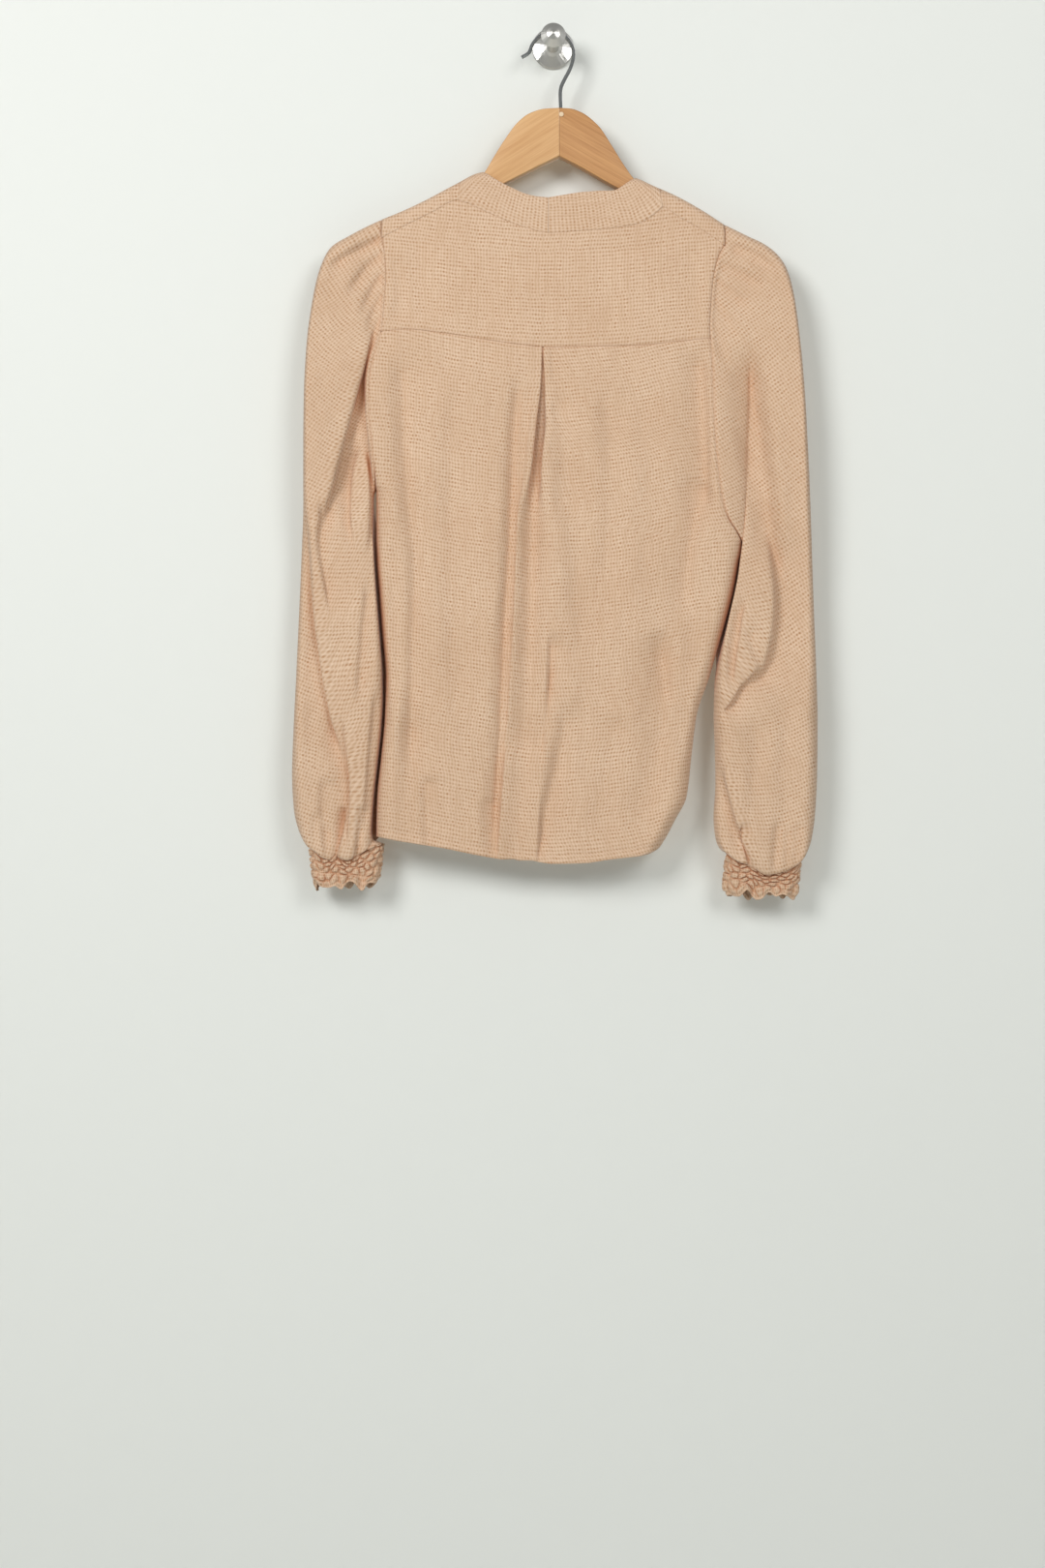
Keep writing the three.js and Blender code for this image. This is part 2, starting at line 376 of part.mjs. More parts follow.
// x of a share w of the body's width where a seam curve over x crosses it
function across(w, seam) {
  let x = lerp(-165, 165, w);
  range(30).forEach(() => {
    const z = seam(x);
    x = lerp(body.left(z), body.right(z), w);
  });
  return x;
}
const shareOf = (x, z) => (x - body.left(z)) / (body.right(z) - body.left(z));

// Closed cloth wall from a grid of outer points and one of inner points, rows by columns
function cloth(name, outer, inner, { ring = false, side = 1 }) {
  const cols = outer[0].length;
  const last = ring ? cols : cols - 1;
  const points = [...outer.flat(), ...inner.flat()];
  const out = (r, c) => r * cols + (c % cols);
  const within = (r, c) => (outer.length + r) * cols + (c % cols);
  const faces = [];
  const quad = (a, b, c, d) => faces.push([a, b, c], [a, c, d]);
  for (let c = 0; c < last; c += 1) {
    for (let r = 0; r < outer.length - 1; r += 1) {
      quad(out(r, c), out(r, c + 1), out(r + 1, c + 1), out(r + 1, c));
    }
    for (let r = 0; r < inner.length - 1; r += 1) {
      quad(within(r, c), within(r + 1, c), within(r + 1, c + 1), within(r, c + 1));
    }
    const [lo, li] = [outer.length - 1, inner.length - 1];
    quad(out(0, c + 1), out(0, c), within(0, c), within(0, c + 1));
    quad(out(lo, c), out(lo, c + 1), within(li, c + 1), within(li, c));
  }
  for (let r = 0; !ring && r < outer.length - 1; r += 1) {
    quad(out(r, 0), out(r + 1, 0), within(r + 1, 0), within(r, 0));
    quad(out(r + 1, last), out(r, last), within(r, last), within(r + 1, last));
  }
  return solid(name, points, side > 0 ? faces : faces.map((f) => [f[0], f[2], f[1]]));
}

// Inner points of a wall: the outer ones moved along the grid's own normals
function inside(outer, { ring = false, side = 1, wall = CLOTH, before = null, after = null }) {
  const [rows, cols] = [outer.length, outer[0].length];
  return outer.map((row, r) => row.map((p, c) => {
    const [up, down] = [outer[Math.max(r - 1, 0)][c], outer[Math.min(r + 1, rows - 1)][c]];
    let [left, right] = [row[Math.max(c - 1, 0)], row[Math.min(c + 1, cols - 1)]];
    if (ring) [left, right] = [row[(c + cols - 1) % cols], row[(c + 1) % cols]];
    if (!ring && c === 0 && before) left = before[r] || left;
    if (!ring && c === cols - 1 && after) right = after[r] || right;
    const du = unit(plus(unit(minus(right, p)), unit(minus(p, left))));
    return plus(p, unit(cross(du, minus(down, up))), -side * wall);
  }));
}

const MATERIALS = {
  cloth: { color: 0xcfb094, roughness: 0.9, metalness: 0 },
  wood: { color: 0xd3a473, roughness: 0.55, metalness: 0 },
  steel: { color: 0xb9bcbd, roughness: 0.35, metalness: 1 },
  plug: { color: 0xe4cfae, roughness: 0.6, metalness: 0 },
};
const root = new THREE.Group();
root.name = "blouse_on_hanger";

function solid(name, points, faces, kind = "cloth") {
  const geometry = new THREE.BufferGeometry();
  geometry.setAttribute("position", new THREE.Float32BufferAttribute(points.flat(), 3));
  geometry.setIndex(faces.flat());
  geometry.computeVertexNormals();
  const mesh = new THREE.Mesh(geometry, new THREE.MeshStandardMaterial(MATERIALS[kind]));
  mesh.name = name;
  mesh.material.name = kind;
  root.add(mesh);
  return mesh;
}

// Rows of the panels. The rows above the underarm are shared with the sleeve's first ring.
const YOKE_ROWS = range(6).map((i) => i / 5);
const ARMHOLE_ROWS = [0, 0.26, 0.5, 0.7, 0.85, 0.95, 1];
const SIDE_ROWS = range(10).map((i) => i / 9);
const RIDGE_ROWS = [-1, -0.5, 0];
const FRONT_ARMHOLE_ROWS = [0.03, 0.08, 0.16, 0.27, 0.38, 0.49, 0.6, 0.7, 0.79, 0.86, 0.92, 0.966, 1];

const cutLeft = shareOf(SHOULDER_LEFT.x, SHOULDER_LEFT.z);
const cutRight = shareOf(SHOULDER_RIGHT.x, SHOULDER_RIGHT.z);
const centre = shareOf(CENTRE_BACK, neckSeam(CENTRE_BACK));
const vPart = (V_POINT.x - SHOULDER_LEFT.x) / (SHOULDER_RIGHT.x - SHOULDER_LEFT.x);
const vShare = lerp(cutLeft, cutRight, vPart);
const between = (a, b, n) => range(n).map((i) => lerp(a, b, i / n));
const SHOULDER_COLUMNS = 5;
const NECK_COLUMNS = 6;

// Yoke
const yokeShares = [
  ...between(0, cutLeft, SHOULDER_COLUMNS), ...between(cutLeft, centre, NECK_COLUMNS),
  ...between(centre, cutRight, NECK_COLUMNS), ...between(cutRight, 1, SHOULDER_COLUMNS), 1,
];
const yokeOuter = YOKE_ROWS.map((v) => yokeShares.map((w) => {
  const top = yokeTop(across(w, yokeTop)) - SEAM_GAP / 2;
  const z = lerp(top, yokeSeam(across(w, yokeSeam)) + SEAM_GAP / 2, v);
  return backLayer(lerp(body.left(z), body.right(z), w), z);
}));
const yokeInner = inside(yokeOuter, { side: -1 });
cloth("back_yoke", yokeOuter, yokeInner, { side: -1 });

// Height of a row of points at x
function heightOn(points, x) {
  let i = 0;
  while (i < points.length - 2 && x > points[i + 1][0]) i += 1;
  const [p, q] = [points[i], points[i + 1]];
  return lerp(p[2], q[2], (x - p[0]) / (q[0] - p[0]));
}

// Back with its centre pleat. Columns follow the fold lines.
function pleatPoints(z) {
  const [a, b] = [line.slitL(z), line.slitR(z)];
  const [under, deep, soft] = [pleat.under(z), pleat.depth(z), pleat.soft(z)];
  const half = [
    [-0.9, 0], [0, 1.45], [-0.7, 2.7], [-0.9 - under, 3], [-1.3 - under, (3 + deep) / 2], [-0.9 - under, deep],
  ];
  const pressed = [
    ...half.map(([x, y]) => [a + x, y]), [(a + b) / 2, deep], ...half.reverse().map(([x, y]) => [b - x, y]),
  ];
  return pressed.map(([x, y], i) => {
    const t = i / (pressed.length - 1);
    return [lerp(x, lerp(a - 7, b + 7, t), soft), lerp(y, deep * Math.sin(Math.PI * t) ** 2, soft)];
  });
}
function backRow(z) {
  const run = (from, to, shares) => shares.map((t) => backLayer(lerp(from, to, t), z));
  const x = Object.fromEntries(Object.keys(line).map((n) => [n, line[n](z)]));
  const groove = pleatPoints(z);
  const y = backLayer((x.slitL + x.slitR) / 2, z)[1];
  const [gx0, gx1] = [groove[0][0], groove[groove.length - 1][0]];
  return [
    ...run(body.left(z), x.fold, [0, 0.06, 0.2, 0.42, 0.7]), ...run(x.fold, x.second, between(0, 1, 8)),
    ...run(x.second, gx0, [0, 0.36, 0.72]), ...groove.map(([px, py]) => [px, y + py, z]),
    ...run(gx1, x.right, range(11).map((i) => i / 11 + 1 / 22)),
    ...run(x.right, body.right(z), [0, 0.3, 0.58, 0.8, 0.94, 1]),
  ];
}
const backRows = [
  ...ARMHOLE_ROWS.map((v) => ({ top: 1, v })), ...SIDE_ROWS.slice(1).map((v) => ({ top: 0, v })),
];
const backOuter = backRows.map(({ top, v }) => {
  // a row is laid at one height per column, then bent to the seam, the underarm level and the hem
  const level = (w) => {
    const seam = heightOn(yokeOuter[yokeOuter.length - 1], across(w, yokeSeam)) - SEAM_GAP;
    return top ? lerp(seam, underarm(w), v) : lerp(underarm(w), hem(w), v);
  };
  const shares = backRow(level(0.5)).map((p) => clamp(shareOf(p[0], level(0.5))));
  return shares.map((w, c) => backRow(level(w))[c]);
});
backOuter.forEach((row, r) => {
  if (r < ARMHOLE_ROWS.length - 1) return;
  row[0][1] -= SEAM_GAP / 2;
  row[row.length - 1][1] -= SEAM_GAP / 2;
});

// Front: over the ridge to the shoulder seam, V neck
const vSide = [0, 0.02, 0.041, CORNER_SHARE, 0.22, 0.42, 0.62, 0.82];
const frontShares = [
  ...between(0, cutLeft, SHOULDER_COLUMNS), ...vSide.map((t) => lerp(cutLeft, vShare, t)), vShare,
  ...vSide.map((t) => lerp(cutRight, vShare, t)).reverse(),
  ...between(cutRight, 1, SHOULDER_COLUMNS).slice(1), 1,
];
function neckEdge(w) {
  const x = across(w, yokeTop);
  const seam = -downFromRidge(x, yokeTop(x) + SEAM_GAP / 2);
  if (w <= cutLeft + 1e-9 || w >= cutRight - 1e-9) return seam;
  const t = w < vShare ? (w - cutLeft) / (vShare - cutLeft) : (cutRight - w) / (cutRight - vShare);
  const corner = w < vShare ? SHOULDER_LEFT : SHOULDER_RIGHT;
  const start = -downFromRidge(corner.x, corner.z + SEAM_GAP / 2);
  if (t < CORNER_SHARE) return lerp(start, CORNER_DOWN, t / CORNER_SHARE);
  return lerp(CORNER_DOWN, V_POINT.s, (t - CORNER_SHARE) / (1 - CORNER_SHARE));
}
const topX = (w) => (w <= cutLeft || w >= cutRight ? across(w, yokeTop) : lerp(
  across(cutLeft, yokeTop), across(cutRight, yokeTop), (w - cutLeft) / (cutRight - cutLeft)));
const frontRows = [
  ...RIDGE_ROWS.map((v) => ({ zone: 0, v })), ...FRONT_ARMHOLE_ROWS.map((v) => ({ zone: 1, v })),
  ...SIDE_ROWS.slice(1).map((v) => ({ zone: 2, v })),
];
const nearRidge = [];
const frontOuter = frontRows.map(({ zone, v }, r) => frontShares.map((w, c) => {
  const level = underarm(w);
  const top = neckEdge(w);
  const under = downFromRidge(topX(w), level);
  const first = top < 0 && (w <= cutLeft || w >= cutRight) ? 0 : lerp(top, under, 0.05);
  let s;
  if (zone === 0) s = lerp(top, first, v + 1);
  if (zone === 1) s = lerp(first, under, v);
  if (zone < 2) {
    // sideways the columns widen from the neck edge to the body's width
    const z = frontLayer(topX(w), s)[2];
    const wide = s < 0 ? topX(w) : lerp(body.left(z), body.right(z), w);
    const x = lerp(topX(w), wide, ease(0, SPREAD, s - top));
    const down = s < BEND ? s : downFromRidge(x, z);
    if (down < 2 * BEND) nearRidge.push({ r, c, x, down });
    return frontLayer(x, down);
  }
  const z = lerp(level, hem(w) + 4 * Math.sin(Math.PI * w), v);
  const x = lerp(body.left(z), body.right(z), w);
  return frontLayer(x, downFromRidge(x, z));
}));
frontOuter.forEach((row, r) => {
  if (r < RIDGE_ROWS.length + FRONT_ARMHOLE_ROWS.length - 1) return;
  row[0][1] += SEAM_GAP / 2;
  row[row.length - 1][1] += SEAM_GAP / 2;
});

// At the side seams each panel's normals look across to the other panel
const SEAM_SHIFT = RIDGE_ROWS.length + FRONT_ARMHOLE_ROWS.length - ARMHOLE_ROWS.length;
const sideRow = ARMHOLE_ROWS.length - 1;
const neighbour = (grid, shift, first, col) => range(frontRows.length).map((r) => {
  const row = r >= first ? grid[r + shift] : null;
  return row && row[col < 0 ? row.length + col : col];
});
const backInner = inside(backOuter, {
  side: -1,
  before: neighbour(frontOuter, SEAM_SHIFT, sideRow, 1),
  after: neighbour(frontOuter, SEAM_SHIFT, sideRow, -2),
});
const frontInner = inside(frontOuter, {
  before: neighbour(backOuter, -SEAM_SHIFT, sideRow + SEAM_SHIFT, 1),
  after: neighbour(backOuter, -SEAM_SHIFT, sideRow + SEAM_SHIFT, -2),
});
nearRidge.forEach(({ r, c, x, down }) => { frontInner[r][c] = frontInside(x, down); });
cloth("back", backOuter, backInner, { side: -1 });
cloth("front", frontOuter, frontInner, {});

// Neck band, each half from the centre-back seam over the shoulder to the mitre at the V
function neckBand(name, right) {
  const sign = right ? -1 : 1;
  const centreColumn = SHOULDER_COLUMNS + NECK_COLUMNS;
  const vColumn = SHOULDER_COLUMNS + vSide.length;
  const edge = [];
  for (let i = 0; i <= NECK_COLUMNS; i += 1) {
    const c = centreColumn - sign * i;
    edge.push({ outer: yokeOuter[0][c], inner: yokeInner[0][c] });
  }
  for (let i = vSide.length - 1; i >= 0; i -= 1) {
    const c = vColumn - sign * i;
    edge.push({ outer: frontOuter[0][c], inner: frontInner[0][c] });
  }
  const half = right ? "right" : "left";
  const table = { x: reader(BAND_EDGE, "m", `${half}X`), s: reader(BAND_EDGE, "m", `${half}S`) };
  const vStart = NECK_COLUMNS + 3;
  const flat = edge.map(({ outer: [x, y, z] }, i) => {
    const bent = RIDGE_RADIUS * Math.asin(clamp((y - RIDGE_Y) / RIDGE_RADIUS, -1, 1));
    const straight = (y < RIDGE_Y ? -1 : 1) * downFromRidge(x, z);
    const s = z > ridge(x) - RIDGE_RADIUS ? bent : straight;
    const along = i === edge.length - 1 ? 1 : (vSide[i - NECK_COLUMNS] - CORNER_SHARE) / (1 - CORNER_SHARE);
    const mitre = [
      lerp(table.x(vStart), V_POINT.x, along), lerp(table.s(vStart), V_POINT.s - BAND_MITRE, along),
    ];
    const inner = i <= vStart ? [table.x(i), table.s(i)] : mitre;
    return { seam: [x, s], inner };
  });
  const grid = (layer) => BAND_ROWS.map((r) => flat.map(({ seam, inner }, i) => {
    const trim = i === 0 || i === flat.length - 1 ? (-sign * SEAM_GAP) / 2 : 0;
    return layer(lerp(seam[0], inner[0], r) + trim, lerp(seam[1], inner[1], r));
  }));
  const [outer, walls] = [grid(frontLayer), grid(frontInside)];
  outer[0].forEach((_, i) => {
    const { outer: p, inner: q } = edge[i];
    const along = unit(minus(edge[Math.min(i + 1, edge.length - 1)].outer, edge[Math.max(i - 1, 0)].outer));
    const wall = unit(minus(q, p));
    const mitred = i === edge.length - 1;
    let away = minus(outer[1][i], p);
    for (const axis of mitred ? [] : [along, wall]) away = plus(away, axis, -dot(axis, away));
    const trim = i === 0 || i === edge.length - 1 ? [(-sign * SEAM_GAP) / 2, 0, 0] : [0, 0, 0];
    const gap = mitred ? SEAM_GAP * 2.4 : SEAM_GAP;
    outer[0][i] = plus(plus(p, unit(away), gap), trim);
    walls[0][i] = plus(plus(q, unit(away), gap), trim);
  });
  cloth(name, outer, walls, { side: -sign });
}
neckBand("neck_band_left", false);
neckBand("neck_band_right", true);

// Sleeves. The first ring repeats the armhole edges of the panels, the last sits on the cuff.
function sleeve(name, right, table, folds) {
  const side = right ? 1 : -1;
  const col = (row) => (right ? row[row.length - 1] : row[0]);
  const pick = (grid, rows) => rows.map((r) => col(grid[r]));
  const foot = RIDGE_ROWS.length + FRONT_ARMHOLE_ROWS.length - 1;
  const loop = [
    ...pick(frontOuter, [2, 1]), ...pick(yokeOuter, range(YOKE_ROWS.length)),
    ...pick(backOuter, range(ARMHOLE_ROWS.length).slice(1)),
    ...pick(frontOuter, range(foot - 2).map((i) => foot - 1 - i)),
  ];
  const count = loop.length;
  const turn = 1 + YOKE_ROWS.length + ARMHOLE_ROWS.length - 1;
  const [top, low] = [loop[0], loop[turn]];
  const row = readers(table, "v");
  const start = loop.map((p) => clamp((top[2] - p[2]) / (top[2] - low[2])));
  const even = loop.map((_, k) => (k <= turn ? k / turn : (count - k) / (count - turn)))
    .map((t) => 0.5 - 0.5 * Math.cos(Math.PI * lerp(t, ease(0, 1, t), -0.25)));
  const spot = (v, k) => {
    const s = lerp(start[k], even[k], ease(0, 3, v));
    const near = k <= turn;
    const [ox, oz, ix, iz] = [row.ox(v), row.oz(v), row.ix(v), row.iz(v)];
    const long = Math.hypot(ox - ix, oz - iz);
    const round = lerp(14, CUFF_HALF, ease(16, 19, v));
    const thick = quarter((s * long) / round) * quarter(((1 - s) * long) / round);
    const mid = (row.near(v) + row.far(v)) / 2;
    const [x, z] = [lerp(ox, ix, s), lerp(oz, iz, s) - (near ? row.sag(v) * Math.sin(Math.PI * s) : 0)];
    const ends = ease(0, 2, v) * ease(19, 17, v) * thick;
    const crease = folded(folds, x, z) * ends;
    const head = ease(0, 1, v) * ease(6, 2, v) * ease(0, 0.1, s) * ease(0.7, 0.4, s);
    const pinch = HEAD_PLEATS * (k % 2 ? 1 : -1) * head;
    if (near) return [x, lerp(mid, row.near(v), thick) + crease + pinch, z];
    return [x, lerp(mid, row.far(v), thick) - crease * FAR_FOLD - pinch, z];
  };
  // near the armhole the rings keep the shape of its edge
  const fade = right ? 1.4 : 2.5;
  const outer = SLEEVE_RINGS.map((v) => (
    loop.map((p, k) => plus(spot(v, k), minus(p, spot(0, k)), 1 - ease(0, fade, v)))));
  const inner = inside(outer, { ring: true, side });
  const end = outer.length - 1;
  loop.forEach((p, k) => {
    const [prev, next] = [loop[(k + count - 1) % count], loop[(k + 1) % count]];
    const along = unit(minus(next, prev));
    const level = unit([along[0], 0, along[2]]);
    const steep = Math.abs(level[2]) > 0.3;
    const flat = steep ? [Math.abs(level[2]), 0, -level[0] * Math.sign(level[2])] : [1, 0, 0];
    const away = unit(flat).map((c) => c * side);
    outer[0][k] = plus(p, away, SEAM_GAP);
    inner[0][k] = plus(outer[0][k], unit(cross(along, away)), -side * CLOTH);
    const rim = (depth) => cuffPoint(right ? CUFF_RIGHT : CUFF_LEFT, 0, even[k], k <= turn, depth);
    outer[end][k] = plus(rim(0), [0, 0, CUFF_GAP]);
    inner[end][k] = plus(rim(CLOTH), [0, 0, CUFF_GAP]);
  });
  cloth(name, outer, inner, { ring: true, side });
}

// Point of a cuff's outline: share t of the way from its outer to its inner end, moved in by a depth
function cuffPoint(table, v, t, near, depth) {
  const row = readers(table, "v");
  const [ox, oz, ix, iz, half] = [row.ox(v), row.oz(v), row.ix(v), row.iz(v), row.half(v) - depth];
  const long = Math.hypot(ox - ix, oz - iz);
  const s = lerp(depth / long, 1 - depth / long, t);
  const thick = quarter(((s * long) - depth) / half) * quarter(((1 - s) * long - depth) / half);
  const drop = near ? row.sag(v) * Math.sin(Math.PI * s) : 0;
  return [lerp(ox, ix, s), CUFF_Y - (near ? 1 : -1) * half * thick, lerp(oz, iz, s) - drop];
}
sleeve("sleeve_left", false, SLEEVE_LEFT, SLEEVE_LEFT_FOLDS);
sleeve("sleeve_right", true, SLEEVE_RIGHT, SLEEVE_RIGHT_FOLDS);

// Cuffs: smocked puffs over a plain inside, then a waved frill edge
function cuff(name, right, table) {
  const side = right ? 1 : -1;
  const row = readers(table, "v");
  const n = CUFF_AROUND;
  const share = (j) => {
    // even steps of arc round the flattened outline, as a share from the outer to the inner end
    const long = Math.hypot(row.ox(0) - row.ix(0), row.oz(0) - row.iz(0));
    const [arc, straight] = [(Math.PI / 2) * CUFF_HALF, long - 2 * CUFF_HALF];
    const a = (j <= n / 2 ? j : n - j) * ((2 * arc + straight) / (n / 2));
    if (a < arc) return (CUFF_HALF * (1 - Math.cos(a / CUFF_HALF))) / long;
    const last = (2 * arc + straight - a) / CUFF_HALF;
    if (a > arc + straight) return 1 - (CUFF_HALF * (1 - Math.cos(last))) / long;
    return (CUFF_HALF + a - arc) / long;
  };
  const ring = (v, depth, raise) => range(n).map((j) => {
    const p = cuffPoint(table, v, share(j), j <= n / 2, depth);
    const q = cuffPoint(table, v, share(j), j <= n / 2, depth + 1);
    const wave = row.wave(v) * Math.sin((2 * Math.PI * FRILL_WAVES * j) / n);
    return plus(p, unit(minus(p, q)), raise(j) + wave);
  });
  const outer = CUFF_ROWS.map((v, i) => ring(v, 0, (j) => SMOCK_RAISE * row.smock(v) * ((i + j) % 2)));
  const inner = CUFF_INNER_ROWS.map((v) => ring(v, CLOTH, () => 0));
  cloth(name, outer, inner, { ring: true, side });
}
cuff("cuff_left", false, CUFF_LEFT);
cuff("cuff_right", true, CUFF_RIGHT);

// Solid through closed rings with the same number of points, capped by the triangles given
function loft(name, rings, cap, kind) {
  const n = rings[0].length;
  const faces = [];
  rings.slice(1).forEach((_, r) => range(n).forEach((i) => {
    const [a, b] = [r * n + i, r * n + ((i + 1) % n)];
    faces.push([a, b, b + n], [a, b + n, a + n]);
  }));
  const end = (rings.length - 1) * n;
  cap.forEach(([a, b, c]) => faces.push([c, b, a], [a + end, b + end, c + end]));
  return solid(name, rings.flat(), faces, kind);
}
const fan = (n) => range(n - 2).map((i) => [0, i + 1, i + 2]);

function hangerArm(name, table, sign) {
  const x = (r) => MITRE_X + sign * r.x;
  const outline = [...table.map((r) => [x(r), r.top]), ...[...table].reverse().map((r) => [x(r), r.low])];
  if (sign > 0) outline.reverse();
  const n = outline.length;
  const inset = outline.map(([px, pz], i) => {
    const [a, b] = [outline[(i + n - 1) % n], outline[(i + 1) % n]];
    const [d, e] = [unit([px - a[0], 0, pz - a[1]]), unit([b[0] - px, 0, b[1] - pz])];
    const m = unit([-(d[2] + e[2]), 0, d[0] + e[0]]);
    const k = 1 / Math.max(0.5, -d[2] * m[0] + d[0] * m[2]);
    return [px + m[0] * k * WOOD_BEVEL, pz + m[2] * k * WOOD_BEVEL].map((c, j) => (
      Math.abs(px - MITRE_X) < 1 && j === 0 ? px : c));
  });
  const layer = (points, y) => points.map(([px, pz]) => [px, y, pz]);
  const [y0, y1] = WOOD_Y;
  const flat = inset.map(([px, pz]) => new THREE.Vector2(px, pz));
  loft(name, [
    layer(inset, y1), layer(outline, y1 - WOOD_BEVEL), layer(outline, y0 + WOOD_BEVEL), layer(inset, y0),
  ], THREE.ShapeUtils.triangulateShape(flat, []), "wood");
}
hangerArm("hanger_arm_left", ARM_LEFT, -1);
hangerArm("hanger_arm_right", ARM_RIGHT, 1);

function wire() {
  const points = WIRE.map((p) => new THREE.Vector3(p.x, RIDGE_Y, p.z));
  const path = new THREE.CatmullRomCurve3(points, false, "centripetal");
  const rings = range(43).map((i) => {
    const t = i / 42;
    const [p, d] = [path.getPointAt(t), path.getTangentAt(t)];
    return range(10).map((k) => {
      const a = (2 * Math.PI * k) / 10;
      const [u, w] = [Math.cos(a) * WIRE_RADIUS, Math.sin(a) * WIRE_RADIUS];
      return [p.x + d.z * u, p.y + w, p.z - d.x * u];
    });
  });
  loft("hanger_hook", rings, fan(10), "steel");
}
wire();

function turned(name, table, [cx, cz], n, kind) {
  const rings = table.map(({ y, r }) => range(n).map((k) => {
    const a = (2 * Math.PI * k) / n;
    return [cx + r * Math.cos(a), y, cz + r * Math.sin(a)];
  }));
  loft(name, rings, fan(n), kind);
}
turned("wall_hook", KNOB, [0, 0], 28, "steel");
const PLUG = [{ y: WOOD_Y[0] - SEAM_GAP, r: 2.4 }, { y: WOOD_Y[0] - 0.9, r: 2.1 }];
turned("hanger_plug", PLUG, [MITRE_X + 1.9, -72.6], 12, "plug");

export default root;
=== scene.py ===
# A long-sleeved blouse hung on a wooden hanger, seen from its back: cloth, hanger, hook and stage
import json
import math

import bpy
import numpy as np
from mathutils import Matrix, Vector

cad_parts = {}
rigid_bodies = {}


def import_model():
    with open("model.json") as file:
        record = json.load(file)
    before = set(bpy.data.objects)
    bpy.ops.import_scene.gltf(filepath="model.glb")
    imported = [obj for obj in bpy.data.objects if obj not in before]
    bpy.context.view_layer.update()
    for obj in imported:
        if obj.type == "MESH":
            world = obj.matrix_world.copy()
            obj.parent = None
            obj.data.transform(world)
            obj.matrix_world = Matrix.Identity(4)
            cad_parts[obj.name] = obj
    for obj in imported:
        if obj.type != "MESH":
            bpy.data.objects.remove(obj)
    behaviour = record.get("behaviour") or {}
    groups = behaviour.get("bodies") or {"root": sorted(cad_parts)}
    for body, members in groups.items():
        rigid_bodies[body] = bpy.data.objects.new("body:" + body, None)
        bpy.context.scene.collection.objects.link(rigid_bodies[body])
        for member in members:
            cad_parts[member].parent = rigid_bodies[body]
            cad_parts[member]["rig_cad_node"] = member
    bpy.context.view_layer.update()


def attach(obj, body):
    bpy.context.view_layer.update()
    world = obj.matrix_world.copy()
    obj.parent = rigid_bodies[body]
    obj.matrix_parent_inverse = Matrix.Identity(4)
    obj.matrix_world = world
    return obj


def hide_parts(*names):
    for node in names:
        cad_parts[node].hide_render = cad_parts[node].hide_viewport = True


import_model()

bl_info = {
    "name": "Blouse on a Hanger",
    "version": (1, 0, 0),
    "blender": (4, 5, 0),
    "location": "View3D > Sidebar > Blouse",
    "description": "Woven blouse with smocked cuffs on a wooden hanger, a piece of cloth at a time",
    "category": "Object",
}

# Sizes and tables in millimetres: x to the right, z up, y from the viewer to the wall plane y = 0
RIDGE_Y, RIDGE_RADIUS = -25.0, 8.5  # shoulder ridge over the hanger arms
BEND = RIDGE_RADIUS * math.pi / 2
SIDE_ROLL, UNDERARM_ROUND = 17.0, 38.0  # roundness of the body's sides, and of their start below the arm
UNDERARM_LEFT, UNDERARM_RIGHT = -430.0, -481.0
CENTRE_BACK = -4.5
V_POINT, BAND_MITRE = (2.0, 192.0), 68.0  # x and depth of the V, and how far the band's mitre rises
BAND_APART = 0.05  # how far each half stays off the centre-back seam
CORNER_SHARE, CORNER_DOWN = 0.062, 16.0  # where the front's neck edge turns over the shoulder
SPREAD = 160.0  # length over which the front widens from its upper edge to the body's width
CUFF_Y, CUFF_HALF = -28.0, 11.5  # middle of the cuffs, and half their thickness
CUFF_WALL, CUFF_ROUND, CUFF_HIGH = 0.6, 200.0, 45.0  # cloth, and the cuff's flat length and height
PUFFS, PUFF_ROWS, FRILL_FROM = 20, 4, 0.76  # puffs around, rows of them, share where the frill starts
PUFF_WIDE, PUFF_HIGH = 7.4, 6.2  # size of one puff
FRILL_WAVE, FRILL_OUT = 1.7, 1.6  # the frill's waves, and how far it stands out
FRILL_DROP, FRILL_LONG = 2.2, 1.5  # uneven lower edge, and extra length
YOKE_GROOVE, ARMHOLE_GROOVE, HEM_GROOVE, NECK_GROOVE = 0.9, 1.6, 0.8, 0.3  # depth of the sunk seams
LAP = 1.2  # how far the yoke reaches under the neck band and the front
HEM_ROUND, HEM_WIDE, HEM_STITCH = 10.0, 290.0, 8.0  # corner, width and turned-up allowance of the hem
UNDER_BODY, OVER_BODY = 9.0, 1.9  # how far the sleeve's far and near sides pass the body's edge
SLEEVE_ROUND = 14.0  # roundness of the sleeve's two long turns
SLIT_TOP, SLIT_WIDE_AT, SLIT_DEEP_AT = -296.0, -330.0, -370.0  # where the centre pleat opens
SLIT_WIDTH, SLIT_DEPTH, SLIT_LEAST = (0.4, 1.15), (0.5, 1.15), 2.9  # shares above and below, least depth
UNEVEN = 0.7  # depth of the worn cloth's unevenness
LENS, SENSOR = 50, 36  # the camera's
CAMERA_PLACE, LAMP_AIM = (-0.0292, -2.1, -0.7088), (0, 0, -0.45)  # metres
FLOOR_PLACE, WALL_PLACE, STAGE_SIZE = (0, 0, -1.6), (0, 0.0006, -0.6), 8
SKY_STRENGTH = 0.31
# Name, place and size in metres, power in watts
LAMPS = (
    ("key", (-1.4, -2.2, 0.5), 1.1, 39),
    ("fill", (1.1, -2.3, 0.4), 1.1, 20),
    ("rear", (0.6, 2.4, 0.6), 2.0, 17),
)


def columns(names, rows):
    """A table as one array for each named column"""
    return dict(zip(names.split(), np.array(rows, float).T))


